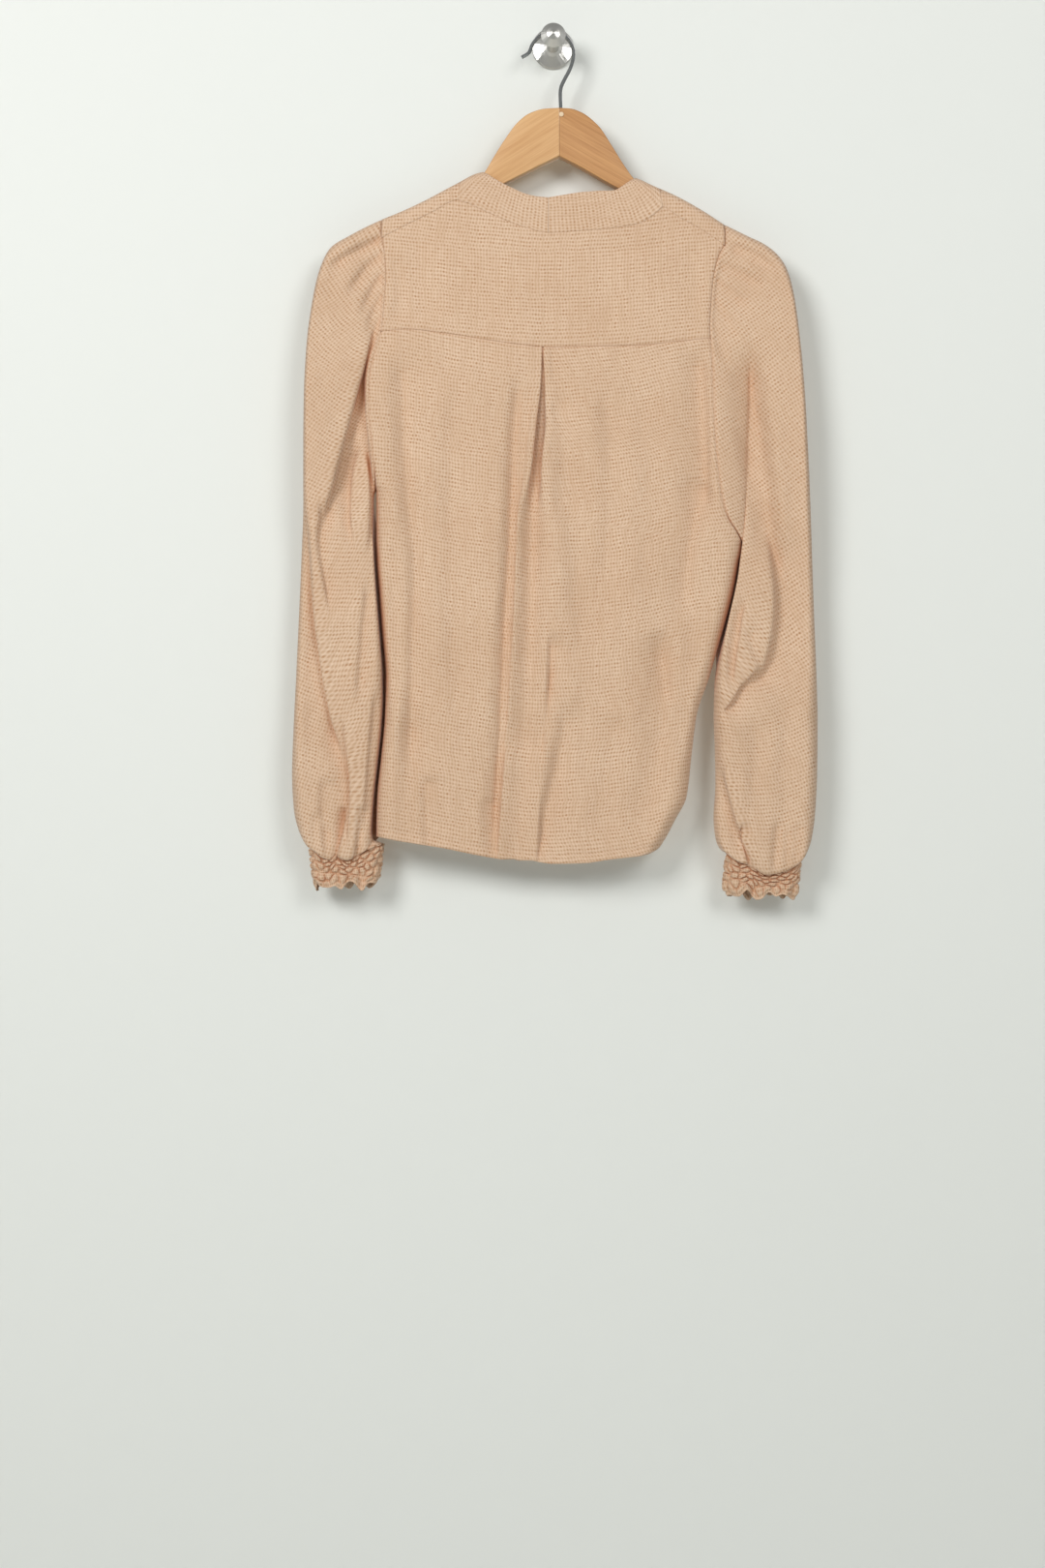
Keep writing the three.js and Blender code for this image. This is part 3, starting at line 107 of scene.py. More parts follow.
BODY = columns("z left right back mid front", [
    (-130, -166.5, 178, -33.5, -25, -16.5), (-173, -165.7, 174, -33.8, -25, -16.4),
    (-190, -163, 167.5, -34.6, -25.1, -15.8), (-207, -160.3, 157.5, -35.4, -25.2, -15.2),
    (-228, -159.3, 152.2, -36.6, -25.4, -14.4), (-251, -160.7, 150, -37.8, -25.6, -13.6),
    (-277, -163, 148.6, -39.2, -25.8, -12.8), (-300, -169.4, 150.4, -40.2, -26, -12.2),
    (-324, -174, 151.3, -41.2, -26.2, -11.6), (-356, -174.9, 152.2, -42.2, -26.4, -11),
    (-387, -171.5, 154.1, -43, -26.6, -10.4), (-430, -168.5, 158.7, -44, -26.8, -9.6),
    (-456, -168.5, 165.1, -44.4, -26.9, -9.4), (-471, -168.5, 174.5, -44.7, -27, -9.2),
    (-482, -168.4, 179.7, -44.9, -27, -9), (-500, -168, 176.1, -45.2, -27, -8.8),
    (-526, -165.8, 171.5, -45.6, -27, -8.6), (-564, -163, 161.5, -46.2, -27, -8.4),
    (-608, -159.5, 148.5, -46.8, -27, -8.2), (-644, -160.3, 136.7, -47.4, -27.2, -8.2),
    (-679, -163.5, 132.1, -48, -27.4, -8.4), (-721, -167.6, 127, -48.8, -27.8, -8.8),
    (-744, -168.3, 115.6, -49.2, -28, -9.2), (-758, -168.5, 108.3, -49.5, -28.2, -9.6),
    (-777, -168.5, 96.3, -50, -28.4, -10),
])
RIDGE = columns("x z", [
    (-200, -187.5), (-172, -174.9), (-144, -163.4), (-121, -152.6), (-94, -138.2), (-69, -126.4),
    (-30, -122), (40, -124), (79, -131.8), (93, -138), (118, -149.2), (141, -162), (171, -181.4),
    (200, -198),
])
SHOULDER_SEAM = columns("x z", [
    (-170, -194.5), (-139, -178.3), (-115, -166.4), (-91, -155), (104, -161.5), (120, -171.5),
    (139, -182), (175, -207),
])
NECK_SEAM = columns("x z", [
    (-91, -155), (-80, -158.5), (-66, -165), (-47, -173.4), (-25, -181.4), (-4.5, -186), (21, -184.6),
    (49, -182.3), (80, -177.6), (95, -169.4), (104, -161.5),
])
YOKE_SEAM = columns("x z", [
    (-180, -280.8), (-163, -280.2), (-140, -278.2), (-102, -282.2), (-66, -287.7), (-29, -293),
    (-5, -295), (44, -294.4), (81, -293.6), (117, -289.8), (149, -286.8), (180, -285),
])
HEM = columns("w z", [
    (0, -758.4), (0.085, -763.8), (0.226, -769.3), (0.367, -776), (0.492, -781), (0.594, -784),
    (0.726, -783.7), (0.856, -780.1), (1, -776.7),
])
BACK_LINES = columns("z fold second slitL slitR right", [
    (-280, -145, -33, -9.7, -8.9, 140.6), (-329, -143.6, -33.4, -11.6, -8.6, 143.4),
    (-361, -142.4, -34.6, -15.2, -8.6, 145.2), (-405, -140.6, -38, -20, -12.2, 145),
    (-450, -135, -41.5, -24, -15.4, 142), (-496, -129.4, -43.5, -26, -16.6, 131.5),
    (-548, -131.4, -46, -28, -17, 124), (-610, -134.6, -50, -31.5, -19, 113),
    (-679, -136, -54, -36, -22, 103), (-721, -136, -57, -39, -25, 96), (-785, -137, -62, -44, -29, 74),
])
PLEAT = columns("z under depth soft", [
    (-280, 15, 3.9, 0), (-330, 10, 4.6, 0), (-361, 6, 5.6, 0), (-400, 0, 7, 0), (-460, 0, 8, 1),
    (-565, 0, 6.6, 1), (-640, 0, 4.6, 1), (-785, 0, 3, 1),
])
SLEEVE_LEFT = columns("v ox oz ix iz near far sag", [
    (0, -166, -173, -168.5, -430, -40, -13, 0), (1, -181, -180, -170.3, -434, -40, -12, 0),
    (2, -195, -187.8, -170.6, -441, -41, -11, 0), (3, -212, -199, -170.8, -457, -42, -10, 0),
    (4, -223, -222, -171, -474, -43, -9.5, 0), (5, -229.5, -252, -170.2, -492, -44, -9, 0),
    (6, -234.5, -290, -169, -511, -45, -8.5, 0), (7, -237, -336, -167.6, -532, -46, -8, 0),
    (8, -237.6, -386, -165.8, -554, -47, -8, 0), (9, -237.6, -439, -164, -577, -48, -7.5, 0),
    (10, -239.5, -494, -162.4, -602, -48, -7.5, 0), (11, -242, -552, -162, -628, -48, -7.5, 0),
    (12, -244.6, -607, -163.4, -656, -48, -7.5, 0), (13, -247, -657, -166.4, -686, -48, -7.5, 0),
    (14, -248.4, -699, -169.6, -714, -48, -8, 0), (15, -246.6, -733, -171.6, -737, -48, -8.5, 0),
    (16, -241.6, -754, -172.6, -753, -48, -9.5, 5), (17, -237, -763.6, -171.5, -761, -46.5, -11.5, 9.8),
    (18, -234, -768.2, -165.5, -763.8, -43, -13.8, 11.6),
    (19, -231.5, -770.5, -161.5, -765, -39.5, -16.5, 11),
])
SLEEVE_RIGHT = columns("v ox oz ix iz near far sag", [
    (0, 174, -183, 179.7, -481, -40, -13, 0), (1, 185, -187.6, 181, -486, -40, -12, 0),
    (2, 197, -193, 180, -492, -41, -11, 0), (3, 211, -203, 178.2, -501, -42, -10, 0),
    (4, 221, -217, 176.4, -511, -43, -9.5, 0), (5, 228, -240, 174.2, -523, -44, -9, 0),
    (6, 233.4, -276, 171.4, -535, -45, -8.5, 0), (7, 238, -322, 167.6, -549, -46, -8, 0),
    (8, 241.4, -376, 163.6, -564, -47, -8, 0), (9, 244, -432, 159.4, -580, -48, -7.5, 0),
    (10, 246, -488, 155.6, -597, -48, -7.5, 0), (11, 248, -545, 153.4, -617, -48, -7.5, 0),
    (12, 250.2, -600, 152.8, -645, -48, -7.5, 0), (13, 251.4, -650, 153.8, -675, -48, -7.5, 0),
    (14, 251, -697, 154.4, -708, -48, -8, 0), (15, 249, -737, 152.6, -740, -48, -8.5, 0),
    (16, 245.4, -762, 154.6, -761, -48, -9.5, 6), (17, 241, -774.5, 158.6, -770.4, -46.5, -11.5, 10.6),
    (18, 238, -780, 162, -773, -43, -13.8, 12.6), (19, 235.5, -782.5, 164.5, -774.5, -39.5, -16.5, 12),
])
CUFF_LEFT = columns("v ox oz ix iz half sag", [
    (0, -231.5, -770.8, -161.5, -765.3, 11.5, 11), (0.1, -231.3, -774, -161.8, -768.6, 11.5, 9.6),
    (0.75, -228.6, -796, -164.6, -791.4, 11.2, 1.5), (0.82, -227.8, -798, -165.6, -794, 11, 0.8),
    (1, -226, -805, -168, -802.5, 11.6, 0),
])
CUFF_RIGHT = columns("v ox oz ix iz half sag", [
    (0, 235.5, -782.8, 164.5, -774.8, 11.5, 12), (0.1, 235.2, -786, 164.2, -778.6, 11.5, 10.6),
    (0.75, 233, -804, 162.6, -801, 11.2, 1.5), (0.82, 232.2, -806, 163.8, -804, 11, 0.8),
    (1, 229.5, -813.5, 168, -812.5, 11.6, 0),
])
BAND_EDGE = columns("m leftX leftS rightX rightS", [
    (0, -4.5, -34.6, -4.5, -34.6), (1, -15, -33.9, 10, -31.8), (2, -27, -31.1, 26, -28.6),
    (3, -39, -25.6, 42, -26.6), (4, -50, -19, 57, -24), (5, -58, -13, 68, -15.5),
    (6, -64, -7.5, 75.5, -8), (7, -66.2, -3, 79, -3), (8, -66.4, 3, 79.4, 3), (9, -63.8, 9.5, 77, 9.5),
])

# Slope of the weave's rows in degrees, down to the right: across the body, and on the sleeves down
# towards the body at four distances from the outer edge
ROW_TILT = columns("x angle", [
    (-175, 3), (-157, 8), (-121, 13.5), (-84, 11), (-47, 9), (-26, 8), (-11, 0), (26, -5), (62, -8),
    (99, -15), (135, -10), (170, -6),
])
SLEEVE_OFFS = ((0, 23, 46, 69), (0, 22, 50, 77))
SLEEVE_TILT_LEFT = columns("z a b c d", [
    (-178, 64, 58, 50, 42), (-214, 64, 55, 54, 45), (-251, 60, 52, 47, 40), (-288, 52, 46, 42, 36),
    (-324, 41, 41, 38, 28), (-361, 37, 39, 28, 18), (-397, 36, 32, 10, 6), (-434, 28, 25, 5, 4),
    (-471, 27, 10, 0, 0), (-544, 26, 4, 0, 0), (-581, 24, 2, -4, -4), (-617, 24, 16, -9, -9),
    (-654, 22, 22, -10, -8), (-690, 19, 22, -9, -8), (-727, 19, 22, 2, 0), (-764, 18, 20, 5, 0),
])
SLEEVE_TILT_RIGHT = columns("z a b c d", [
    (-178, 48, 48, 44, 42), (-214, 46, 46, 41, 40), (-251, 42, 42, 40, 36), (-288, 38, 38, 38, 40),
    (-324, 37, 37, 41, 38), (-361, 34, 34, 39, 33), (-397, 34, 34, 39, 31), (-434, 33, 33, 32, 28),
    (-471, 33, 33, 24, 16), (-507, 31, 31, 18, 15), (-544, 32, 32, 8, 6), (-581, 34, 34, -8, -20),
    (-617, 29, 29, 5, -20), (-654, 24, 24, 8, -9), (-690, 21, 21, 4, -10), (-764, 18, 18, -8, -6),
])

# Folds, a row each: a curve through three points, depth away from the viewer, width of its left and
# right flank, and how far the steeper flank's lip leans over it. A negative depth is a ridge.
BACK_FOLDS = [
    (-145, -290, -141, -400, -129, -520, 6.5, 9, 24, 0),
    (-129, -460, -133, -600, -136, -720, 5.6, 8, 22, 0),
    (-136, -640, -137, -710, -135, -790, 4.0, 12, 16, 0),
    (-34, -310, -42, -460, -47, -620, 5.0, 6, 18, 0), (-47, -520, -51, -660, -60, -800, 5.0, 8, 20, 0),
    (6, -330, 9, -400, 6, -480, 3.2, 9, 12, 0), (50, -330, 54, -430, 48, -560, 4.2, 10, 18, 0),
    (141, -292, 145, -370, 144, -470, 8.0, 20, 7, 0), (146, -420, 131, -480, 122, -590, 7.5, 22, 9, 0),
    (-2, -560, -14, -625, -36, -700, 6.4, 9, 20, 0), (16, -620, -2, -715, -26, -800, 6.6, 8, 20, 0),
    (99, -560, 104, -600, 108, -640, 3.4, 10, 8, 0), (106, -560, 100, -660, 84, -770, 7.0, 22, 10, 0),
    (-120, -700, -119, -735, -118, -790, 4.0, 5, 14, 0),
    (-90, -310, -96, -500, -84, -720, 4.6, 12, 24, 0), (18, -380, 26, -560, 40, -780, 4.2, 12, 26, 0),
    (-158, -470, -150, -560, -148, -640, 4.4, 8, 10, 0), (-62, -720, -60, -750, -58, -790, 2.6, 8, 10, 0),
    (80, -320, 92, -420, 84, -580, 3.4, 14, 22, 0), (150, -500, 128, -600, 112, -700, 3.6, 10, 12, 0),
    (-10, -440, -14, -530, -16, -640, 3.0, 8, 10, 0), (60, -640, 52, -700, 40, -785, 3.0, 14, 14, 0),
    # sharper lines pressed in along the long folds
    (-34, -316, -39, -430, -45, -560, 2.4, 2.6, 5, 0), (-44, -500, -50, -650, -59, -800, 2.4, 2.6, 6, 0),
    (-143, -300, -140, -400, -130, -510, 1.8, 3, 7, 0),
    (-131, -470, -134, -600, -136, -700, 1.6, 3, 7, 0), (-3, -590, -14, -640, -34, -690, 1.2, 4, 8, 0),
    (16, -630, -2, -715, -26, -790, 1.2, 4, 9, 0), (143, -300, 145, -370, 144, -450, 2.0, 6, 3, 0),
    (143, -440, 131, -475, 124, -560, 1.8, 7, 3, 0),
]
YOKE_FOLDS = [
    (-125, -190, -128, -225, -122, -280, 1.4, 8, 12, 0), (132, -195, 136, -230, 134, -285, 1.6, 12, 8, 0),
    (-60, -200, -30, -212, 0, -206, 0.8, 8, 8, 0), (30, -200, 62, -206, 96, -196, 1.0, 6, 8, 0),
    (-150, -205, -146, -240, -150, -278, 1.6, 6, 10, 0), (92, -190, 110, -204, 140, -212, 1.2, 6, 8, 0),
]
FRONT_FOLDS = [
    (-118, -250, -112, -450, -118, -770, 2.6, 16, 16, 0),
    (-44, -380, -50, -560, -58, -770, 2.8, 16, 18, 0), (48, -380, 44, -560, 28, -780, 2.6, 18, 16, 0),
    (124, -250, 112, -460, 76, -770, 2.8, 16, 16, 0), (-84, -300, -80, -420, -86, -560, 1.6, 10, 14, 0),
    (86, -300, 84, -420, 80, -560, 1.8, 12, 10, 0),
]
SLEEVE_LEFT_FOLDS = [
    (-163, -262, -193, -372, -219, -478, 13.0, 4.4, 26, 5),
    (-218, -440, -219, -490, -206, -560, 7.0, 4, 18, 4),
    (-183, -384, -194, -430, -188, -505, 4.5, 8, 4, 3),
    (-236, -430, -222, -589, -196, -700, 9.0, 26, 4, 5),
    (-203, -640, -193, -715, -200, -772, 8.0, 16, 4, 5),
    (-166, -610, -174, -700, -178, -770, 4.5, 4, 9, 2),
    (-173, -510, -180, -580, -184, -640, 4.0, 5, 8, 2),
    (-216, -700, -217, -740, -213, -785, 3.4, 5, 9, 1),
    (-226, -560, -232, -640, -226, -740, 2.6, 9, 12, 0),
    (-176, -386, -171, -440, -174, -500, 6.0, 4, 5, 2),
    (-204, -560, -206, -640, -212, -700, 2.4, 9, 9, 0),
    (-183, -728, -184, -755, -192, -796, 5.0, 1.6, 6, 1.6),
    (-224, -735, -226, -755, -224, -790, 2.6, 4, 5, 0),
    (-196, -728, -200, -757, -210, -796, 5.5, 6, 1.6, 1.8),
    (-214, -748, -214, -765, -214, -796, 3.0, 4, 5, 0),
    (-232, -480, -228, -520, -230, -570, 2.0, 8, 8, 0),
]
SLEEVE_RIGHT_FOLDS = [
    (180, -285, 197, -400, 209, -530, 16.0, 22, 10, 0), (206, -460, 213, -560, 188, -625, 13.0, 7, 24, 3),
    (196, -596, 176, -622, 156, -650, 7.0, 4, 14, 4), (152, -262, 166, -300, 178, -352, 4.0, 6, 10, 0),
    (164, -340, 176, -378, 192, -430, 4.0, 6, 9, 0), (157, -690, 168, -735, 184, -790, 8.0, 16, 4, 4),
    (222, -610, 219, -700, 216, -795, 3.0, 10, 10, 0), (180, -530, 172, -580, 166, -630, 5.0, 8, 4, 3),
    (228, -420, 232, -540, 228, -640, 2.2, 10, 10, 0), (196, -640, 190, -700, 194, -760, 3.0, 9, 12, 0),
    (232, -745, 230, -765, 229, -800, 2.6, 4, 5, 0), (212, -745, 210, -768, 209, -800, 2.8, 4, 5, 0),
    (182, -745, 181, -768, 190, -806, 5.0, 2.2, 5, 2.2), (218, -330, 224, -420, 222, -500, 2.0, 10, 9, 0),
    (184, -560, 190, -585, 196, -600, 3.0, 4, 6, 1), (222, -750, 221, -768, 220, -800, 2.2, 3, 4, 0),
]
# Pleats set into the sleeve heads
HEAD_LEFT = [
    (-156.8, -187.4, -188, -203, -218, -224.2, 4.9, 3, 10.8, 1.2),
    (-153.9, -205.3, -176, -217, -198.5, -253.2, 4.6, 3, 10.8, 1.2),
    (-153.7, -223.9, -168, -233, -184.2, -269.2, 4.3, 3, 9.5, 1.2),
    (-154, -241, -167, -254, -180.8, -294, 3.5, 3.2, 9.5, 1.2),
    (-155.6, -258.4, -166, -274, -176, -306.5, 2.7, 3.5, 8.1, 1),
]
HEAD_RIGHT = [
    (166.6, -198.2, 190, -206, 215, -226, 4.1, 10.8, 3, 1.2),
    (154.6, -213.6, 178, -224, 205.5, -239, 4.6, 10.8, 3, 1.2),
    (149.8, -226.7, 168, -241, 193, -262.2, 4.6, 10.8, 3, 1.2),
    (147.7, -241.8, 162, -260, 177, -295, 4.1, 9.5, 3.2, 1.2),
    (146.3, -258, 158, -284, 168, -321.5, 3, 9.5, 3.5, 1.2),
]
# Hanger arms: distance from the mitre, upper and lower edge
MITRE_X, WOOD_Y, WOOD_ROUND = 5.8, (-31.0, -19.0), 1.5
# the right arm's grain pair is a darker copy of the left arm's beech: painted shade, as the key lamp from
# the left falls on it less
RIGHT_ARM_PAINTED_SHADE_WOOD, END_GRAIN = ("#CF9B64", "#AD7745"), ("#EBD6B8", "#DDC09A")  # light and dark grain
WOOD_END = 4.0  # half thickness of the arms towards their ends
ARM_LEFT = columns("x top low", [
    (0.15, -66, -112), (14, -66.8, -118.6), (28, -71, -125.6), (39.6, -79.8, -131.4),
    (53.5, -98.6, -138.6), (63, -113.8, -143.6), (73, -130, -149.2), (85, -140.4, -155.6),
    (96, -147.4, -163.6), (128, -158.4, -180.4), (178, -180.6, -203), (208, -198, -219),
    (215.8, -205, -221), (219.3, -210.6, -217),
])
ARM_RIGHT = columns("x top low", [
    (0.15, -66, -112), (10, -66.6, -117), (20.5, -70, -122.6), (37, -82.8, -132), (50, -102, -139.4),
    (61, -119.6, -145.4), (74, -136.6, -153), (92, -147, -163.4), (113, -155, -176), (165, -187, -208),
    (203, -208, -228), (208.2, -214.5, -230), (211.7, -220, -226),
])
# Lower edge of the bloused sleeves over the cuffs
OVERHANG_LEFT = columns("x z", [
    (-234, -768), (-227.4, -771.8), (-218.3, -778.2), (-211, -780), (-206.4, -776.4), (-195.4, -780.5),
    (-190, -778.2), (-180.8, -773.6), (-175.3, -770), (-162, -765),
])
OVERHANG_RIGHT = columns("x z", [
    (164, -775), (173.5, -780.9), (190, -787.3), (201, -792.4), (213.7, -791), (226.5, -786.9),
    (234.7, -781.9), (238, -779.5),
])


def reader(table, key, name):
    """One column of a table as a smooth function of its key column"""
    order = np.argsort(table[key])
    x, y = table[key][order], table[name][order]
    step = np.diff(y) / np.diff(x)
    slope = np.concatenate([step[:1], np.zeros(len(x) - 2), step[-1:]])
    same = step[:-1] * step[1:] > 0
    total = np.where(same, step[:-1] + step[1:], 1)
    slope[1:-1] = np.where(same, 2 * step[:-1] * step[1:] / total, 0)

    def at(c):
        c = np.clip(c, x[0], x[-1])
        i = np.clip(np.searchsorted(x, c, side="right") - 1, 0, len(x) - 2)
        h = x[i + 1] - x[i]
        t = (c - x[i]) / h
        return y[i] + (y[i + 1] - y[i]) * t * t * (3 - 2 * t) + t * (1 - t) * h * (
            slope[i] * (1 - t) - slope[i + 1] * t)

    return at


def readers(table, key):
    """Every column of a table as a smooth function of its key column"""
    return {name: reader(table, key, name) for name in table if name != key}


def lerp(a, b, t):
    """From a to b as t goes from 0 to 1"""
    return a + (b - a) * t


def ease(a, b, x):
    """From 0 to 1 as x goes from a to b, soft at both ends"""
    t = np.clip((x - a) / (b - a), 0, 1)
    return t * t * (3 - 2 * t)


def quarter(t):
    """From 0 to 1 over a quarter of a circle, steep at first"""
    return np.sqrt(np.clip(1 - (1 - np.clip(t, 0, 1)) ** 2, 0, 1))


body, line, pleat = readers(BODY, "z"), readers(BACK_LINES, "z"), readers(PLEAT, "z")
ridge, hem_line = reader(RIDGE, "x", "z"), reader(HEM, "w", "z")
yoke_seam, neck_seam = reader(YOKE_SEAM, "x", "z"), reader(NECK_SEAM, "x", "z")
shoulder_seam = reader(SHOULDER_SEAM, "x", "z")
SHOULDER_LEFT, SHOULDER_RIGHT = (-91.0, -155.0), (104.0, -161.5)


def yoke_top(x):
    """Height of the yoke's upper edge: the neck seam, with a shoulder seam at each side"""
    return np.where((x > SHOULDER_LEFT[0]) & (x < SHOULDER_RIGHT[0]), neck_seam(x), shoulder_seam(x))


def hem(w):
    """Lower edge, with the rounded corner of the right side seam"""
    return hem_line(w) + HEM_ROUND * (1 - quarter((1 - w) * HEM_WIDE / HEM_ROUND))


def folded(table, x, z, steps=12):
    """Depth and sideways shift that a table's folds add at the points, each fading out at both ends"""
    x, z = np.broadcast_arrays(np.asarray(x, float), np.asarray(z, float))
    deep, aside, down = np.zeros(x.shape), np.zeros(x.shape), np.zeros(x.shape)
    for x0, z0, x1, z1, x2, z2, depth, left, right, lean in table:
        reach = 2.6 * max(left, right)
        near = (x > min(x0, x1, x2) - reach) & (x < max(x0, x1, x2) + reach)
        near &= (z > min(z0, z1, z2) - reach) & (z < max(z0, z1, z2) + reach)
        if not near.any():
            continue
        px, pz = x[near], z[near]
        t = np.linspace(0, 1, steps + 1)
        a, b, c = (2 * t - 1) * (t - 1), 4 * t * (1 - t), t * (2 * t - 1)
        qx, qz = a * x0 + b * x1 + c * x2, a * z0 + b * z1 + c * z2
        best, at, side = np.full(px.shape, 1e9), np.zeros(px.shape), np.ones(px.shape)
        to_x, to_z = np.zeros(px.shape), np.zeros(px.shape)
        for i in range(steps):
            dx, dz = qx[i + 1] - qx[i], qz[i + 1] - qz[i]
            k = np.clip(((px - qx[i]) * dx + (pz - qz[i]) * dz) / (dx * dx + dz * dz), 0, 1)
            ex, ez = px - qx[i] - k * dx, pz - qz[i] - k * dz
            far = np.hypot(ex, ez)
            closer = far < best
            best = np.where(closer, far, best)
            at = np.where(closer, (i + k) / steps, at)
            side = np.where(closer, np.sign(ez * dx - ex * dz), side)
            to_x, to_z = np.where(closer, -ex, to_x), np.where(closer, -ez, to_z)
        flank = np.where(side < 0, left, right)
        ends = ease(0, 0.18, at) * (1 - ease(0.72, 1, at))
        deep[near] += depth * ends * np.exp(-(best / flank) ** 2)
        steep = min(left, right)
        lip = np.exp(-((best - 1.6 * steep) / (0.9 * steep)) ** 2) * ease(0, 0.6 * steep, best)
        push = lean * ends * lip * (side == (-1 if left < right else 1)) / np.maximum(best, 1e-6)
        aside[near] += push * to_x
        down[near] += push * to_z
    return deep, aside, down


def crumple(x, z, seed=0.0):
    """Slight unevenness of soft cloth that was worn and pressed, in waves of 12 to 60 mm"""
    waves = ((0.105, 0.017, 0.55, 0.3), (-0.071, 0.043, 0.5, 1.9), (0.19, 0.05, 0.28, 4.1),
             (0.034, -0.088, 0.3, 2.6), (0.31, -0.09, 0.16, 5.3), (-0.26, -0.16, 0.14, 0.9),
             (0.08, 0.22, 0.14, 3.3), (0.46, 0.12, 0.09, 1.2))
    return sum(k * np.sin(a * x + b * z + p + seed * (1 + 3 * k)) for a, b, k, p in waves)


def share_of(x, z):
    """Share of the body's width at the height z"""
    return (x - body["left"](z)) / (body["right"](z) - body["left"](z))


def rolled(x, z):
    """Falls from 1 to 0 where the body's side turns round towards the wall, below the underarm"""

    def fall(under):
        t = np.clip((under + UNDERARM_ROUND - z) / UNDERARM_ROUND, 0, 1)
        return 1 - np.sqrt(1 - t * t)

    left = fall(UNDERARM_LEFT) * (1 - quarter((x - body["left"](z)) / SIDE_ROLL))
    right = fall(UNDERARM_RIGHT) * (1 - quarter((body["right"](z) - x) / SIDE_ROLL))
    return 1 - np.where(share_of(x, z) < 0.5, left, right)


def edge_fade(x, z):
    """0 at the body's sides, where the cloth is sewn, and 1 away from them"""
    return ease(0, 15, np.minimum(x - body["left"](z), body["right"](z) - x))


def uneven(x, z, seed=0.0):
    """The body's unevenness, which starts below the shoulders"""
    return UNEVEN * crumple(x, z, seed) * ease(-180, -320, z)


def back_layer(x, z, folds=()):
    """Point of the layer next to the viewer, with its folds"""
    rise = quarter((ridge(x) - z) / RIDGE_RADIUS)
    base = (body["mid"](z) - body["back"](z)) * rise * rolled(x, z)
    deep, aside, down = folded(folds, x, z)
    soft = edge_fade(x, z) * (deep + uneven(x, z))
    return np.stack(np.broadcast_arrays(x + aside, body["mid"](z) - base + soft, z + down), -1)


def front_layer(x, s, folds=()):
    """Point of the layer next to the wall, s down over the cloth from the ridge; with a negative s,
    of the layer next to the viewer"""
    x, s = np.broadcast_arrays(np.asarray(x, float), np.asarray(s, float))
    a = s / RIDGE_RADIUS
    turn_y, turn_z = RIDGE_RADIUS * np.sin(a), RIDGE_RADIUS * (1 - np.cos(a))
    top = np.stack([x, RIDGE_Y + turn_y, ridge(x) - turn_z], -1)
    z = ridge(x) - RIDGE_RADIUS - (np.abs(s) - BEND)
    deep = (body["front"](z) - body["mid"](z)) * rolled(x, z)
    creases = folded(folds, x, z)[0]
    soft = edge_fade(x, z) * (creases + uneven(x, z, 2.0))
    rear = np.stack([x, body["mid"](z) + deep - soft, z], -1)
    below = np.where((s < 0)[..., None], back_layer(x, z), rear)
    return np.where((np.abs(s) < BEND)[..., None], top, below)


def down_from_ridge(x, z):
    """Length over the cloth from the ridge down to the height z"""
    d = ridge(x) - z
    bent = RIDGE_RADIUS * np.arccos(np.clip(1 - np.maximum(d, 0) / RIDGE_RADIUS, -1, 1))
    return np.where(d >= RIDGE_RADIUS, BEND + d - RIDGE_RADIUS, bent)


def across(w, seam):
    """x where a seam crosses share w of the body's width"""
    x = lerp(-165.0, 165.0, w)
    for _ in range(30):
        z = seam(x)
        x = lerp(body["left"](z), body["right"](z), w)
    return x


CUT_LEFT, CUT_RIGHT = float(share_of(*SHOULDER_LEFT)), float(share_of(*SHOULDER_RIGHT))
CENTRE = float(share_of(CENTRE_BACK, neck_seam(CENTRE_BACK)))
SHOULDER_SPAN = SHOULDER_RIGHT[0] - SHOULDER_LEFT[0]
V_SHARE = lerp(CUT_LEFT, CUT_RIGHT, (V_POINT[0] - SHOULDER_LEFT[0]) / SHOULDER_SPAN)


def underarm(w):
    """Height of the underarm level, which sinks from the left side to the right"""
    return lerp(UNDERARM_LEFT, UNDERARM_RIGHT, w)


def joined(*runs):
    """Runs of even steps that share their end points"""
    parts = [np.linspace(a, b, n + 1)[:-1] for a, b, n in runs]
    return np.concatenate([*parts, [runs[-1][1]]])


def pressed(grid, axis, end, amount, width=1.8, at=0.0):
    """Sinks an edge of the grid, or a line at a distance from it, as stitches pull the cloth in"""
    line_of = np.moveaxis(grid, axis, 0)
    line_of = line_of[::-1] if end else line_of
    run = np.cumsum(np.linalg.norm(np.diff(line_of, axis=0, prepend=line_of[:1]), axis=-1), axis=0)
    line_of[..., 1] += amount * np.exp(-((run - at) / width) ** 2)


def yoke_grid():
    """Yoke, from the neck and shoulder seams down to the yoke seam"""
    w = joined((0, 0.02, 5), (0.02, CUT_LEFT, 28), (CUT_LEFT, CENTRE, 44), (CENTRE, CUT_RIGHT, 54),
               (CUT_RIGHT, 0.98, 26), (0.98, 1, 5))
    v = joined((0, 0.03, 7), (0.03, 0.96, 44), (0.96, 1, 6))[:, None]
    top = yoke_top(across(w, yoke_top)) + LAP
    z = lerp(top, yoke_seam(across(w, yoke_seam)), v)
    x = lerp(body["left"](z), body["right"](z), w)
    grid, weave = back_layer(x, z, YOKE_FOLDS), np.stack([x, tilt_rows(x, z, 0.55)], -1)
    pressed(grid, 0, 0, NECK_GROOVE, LAP)
    pressed(grid, 0, 1, YOKE_GROOVE, 1.5)
    pressed(grid, 1, 0, ARMHOLE_GROOVE)
    pressed(grid, 1, 1, ARMHOLE_GROOVE)
    return grid, weave


def tilt_rows(x, z, share=1.0):
    """Height of the weave's crosswise rows, which sink towards the centre pleat from both sides"""
    at = np.linspace(-200, 200, 201)
    climb = np.cumsum(np.tan(np.radians(np.interp(at, ROW_TILT["x"], ROW_TILT["angle"])))) * 2
    return z + share * np.interp(x, at, climb - climb[100])


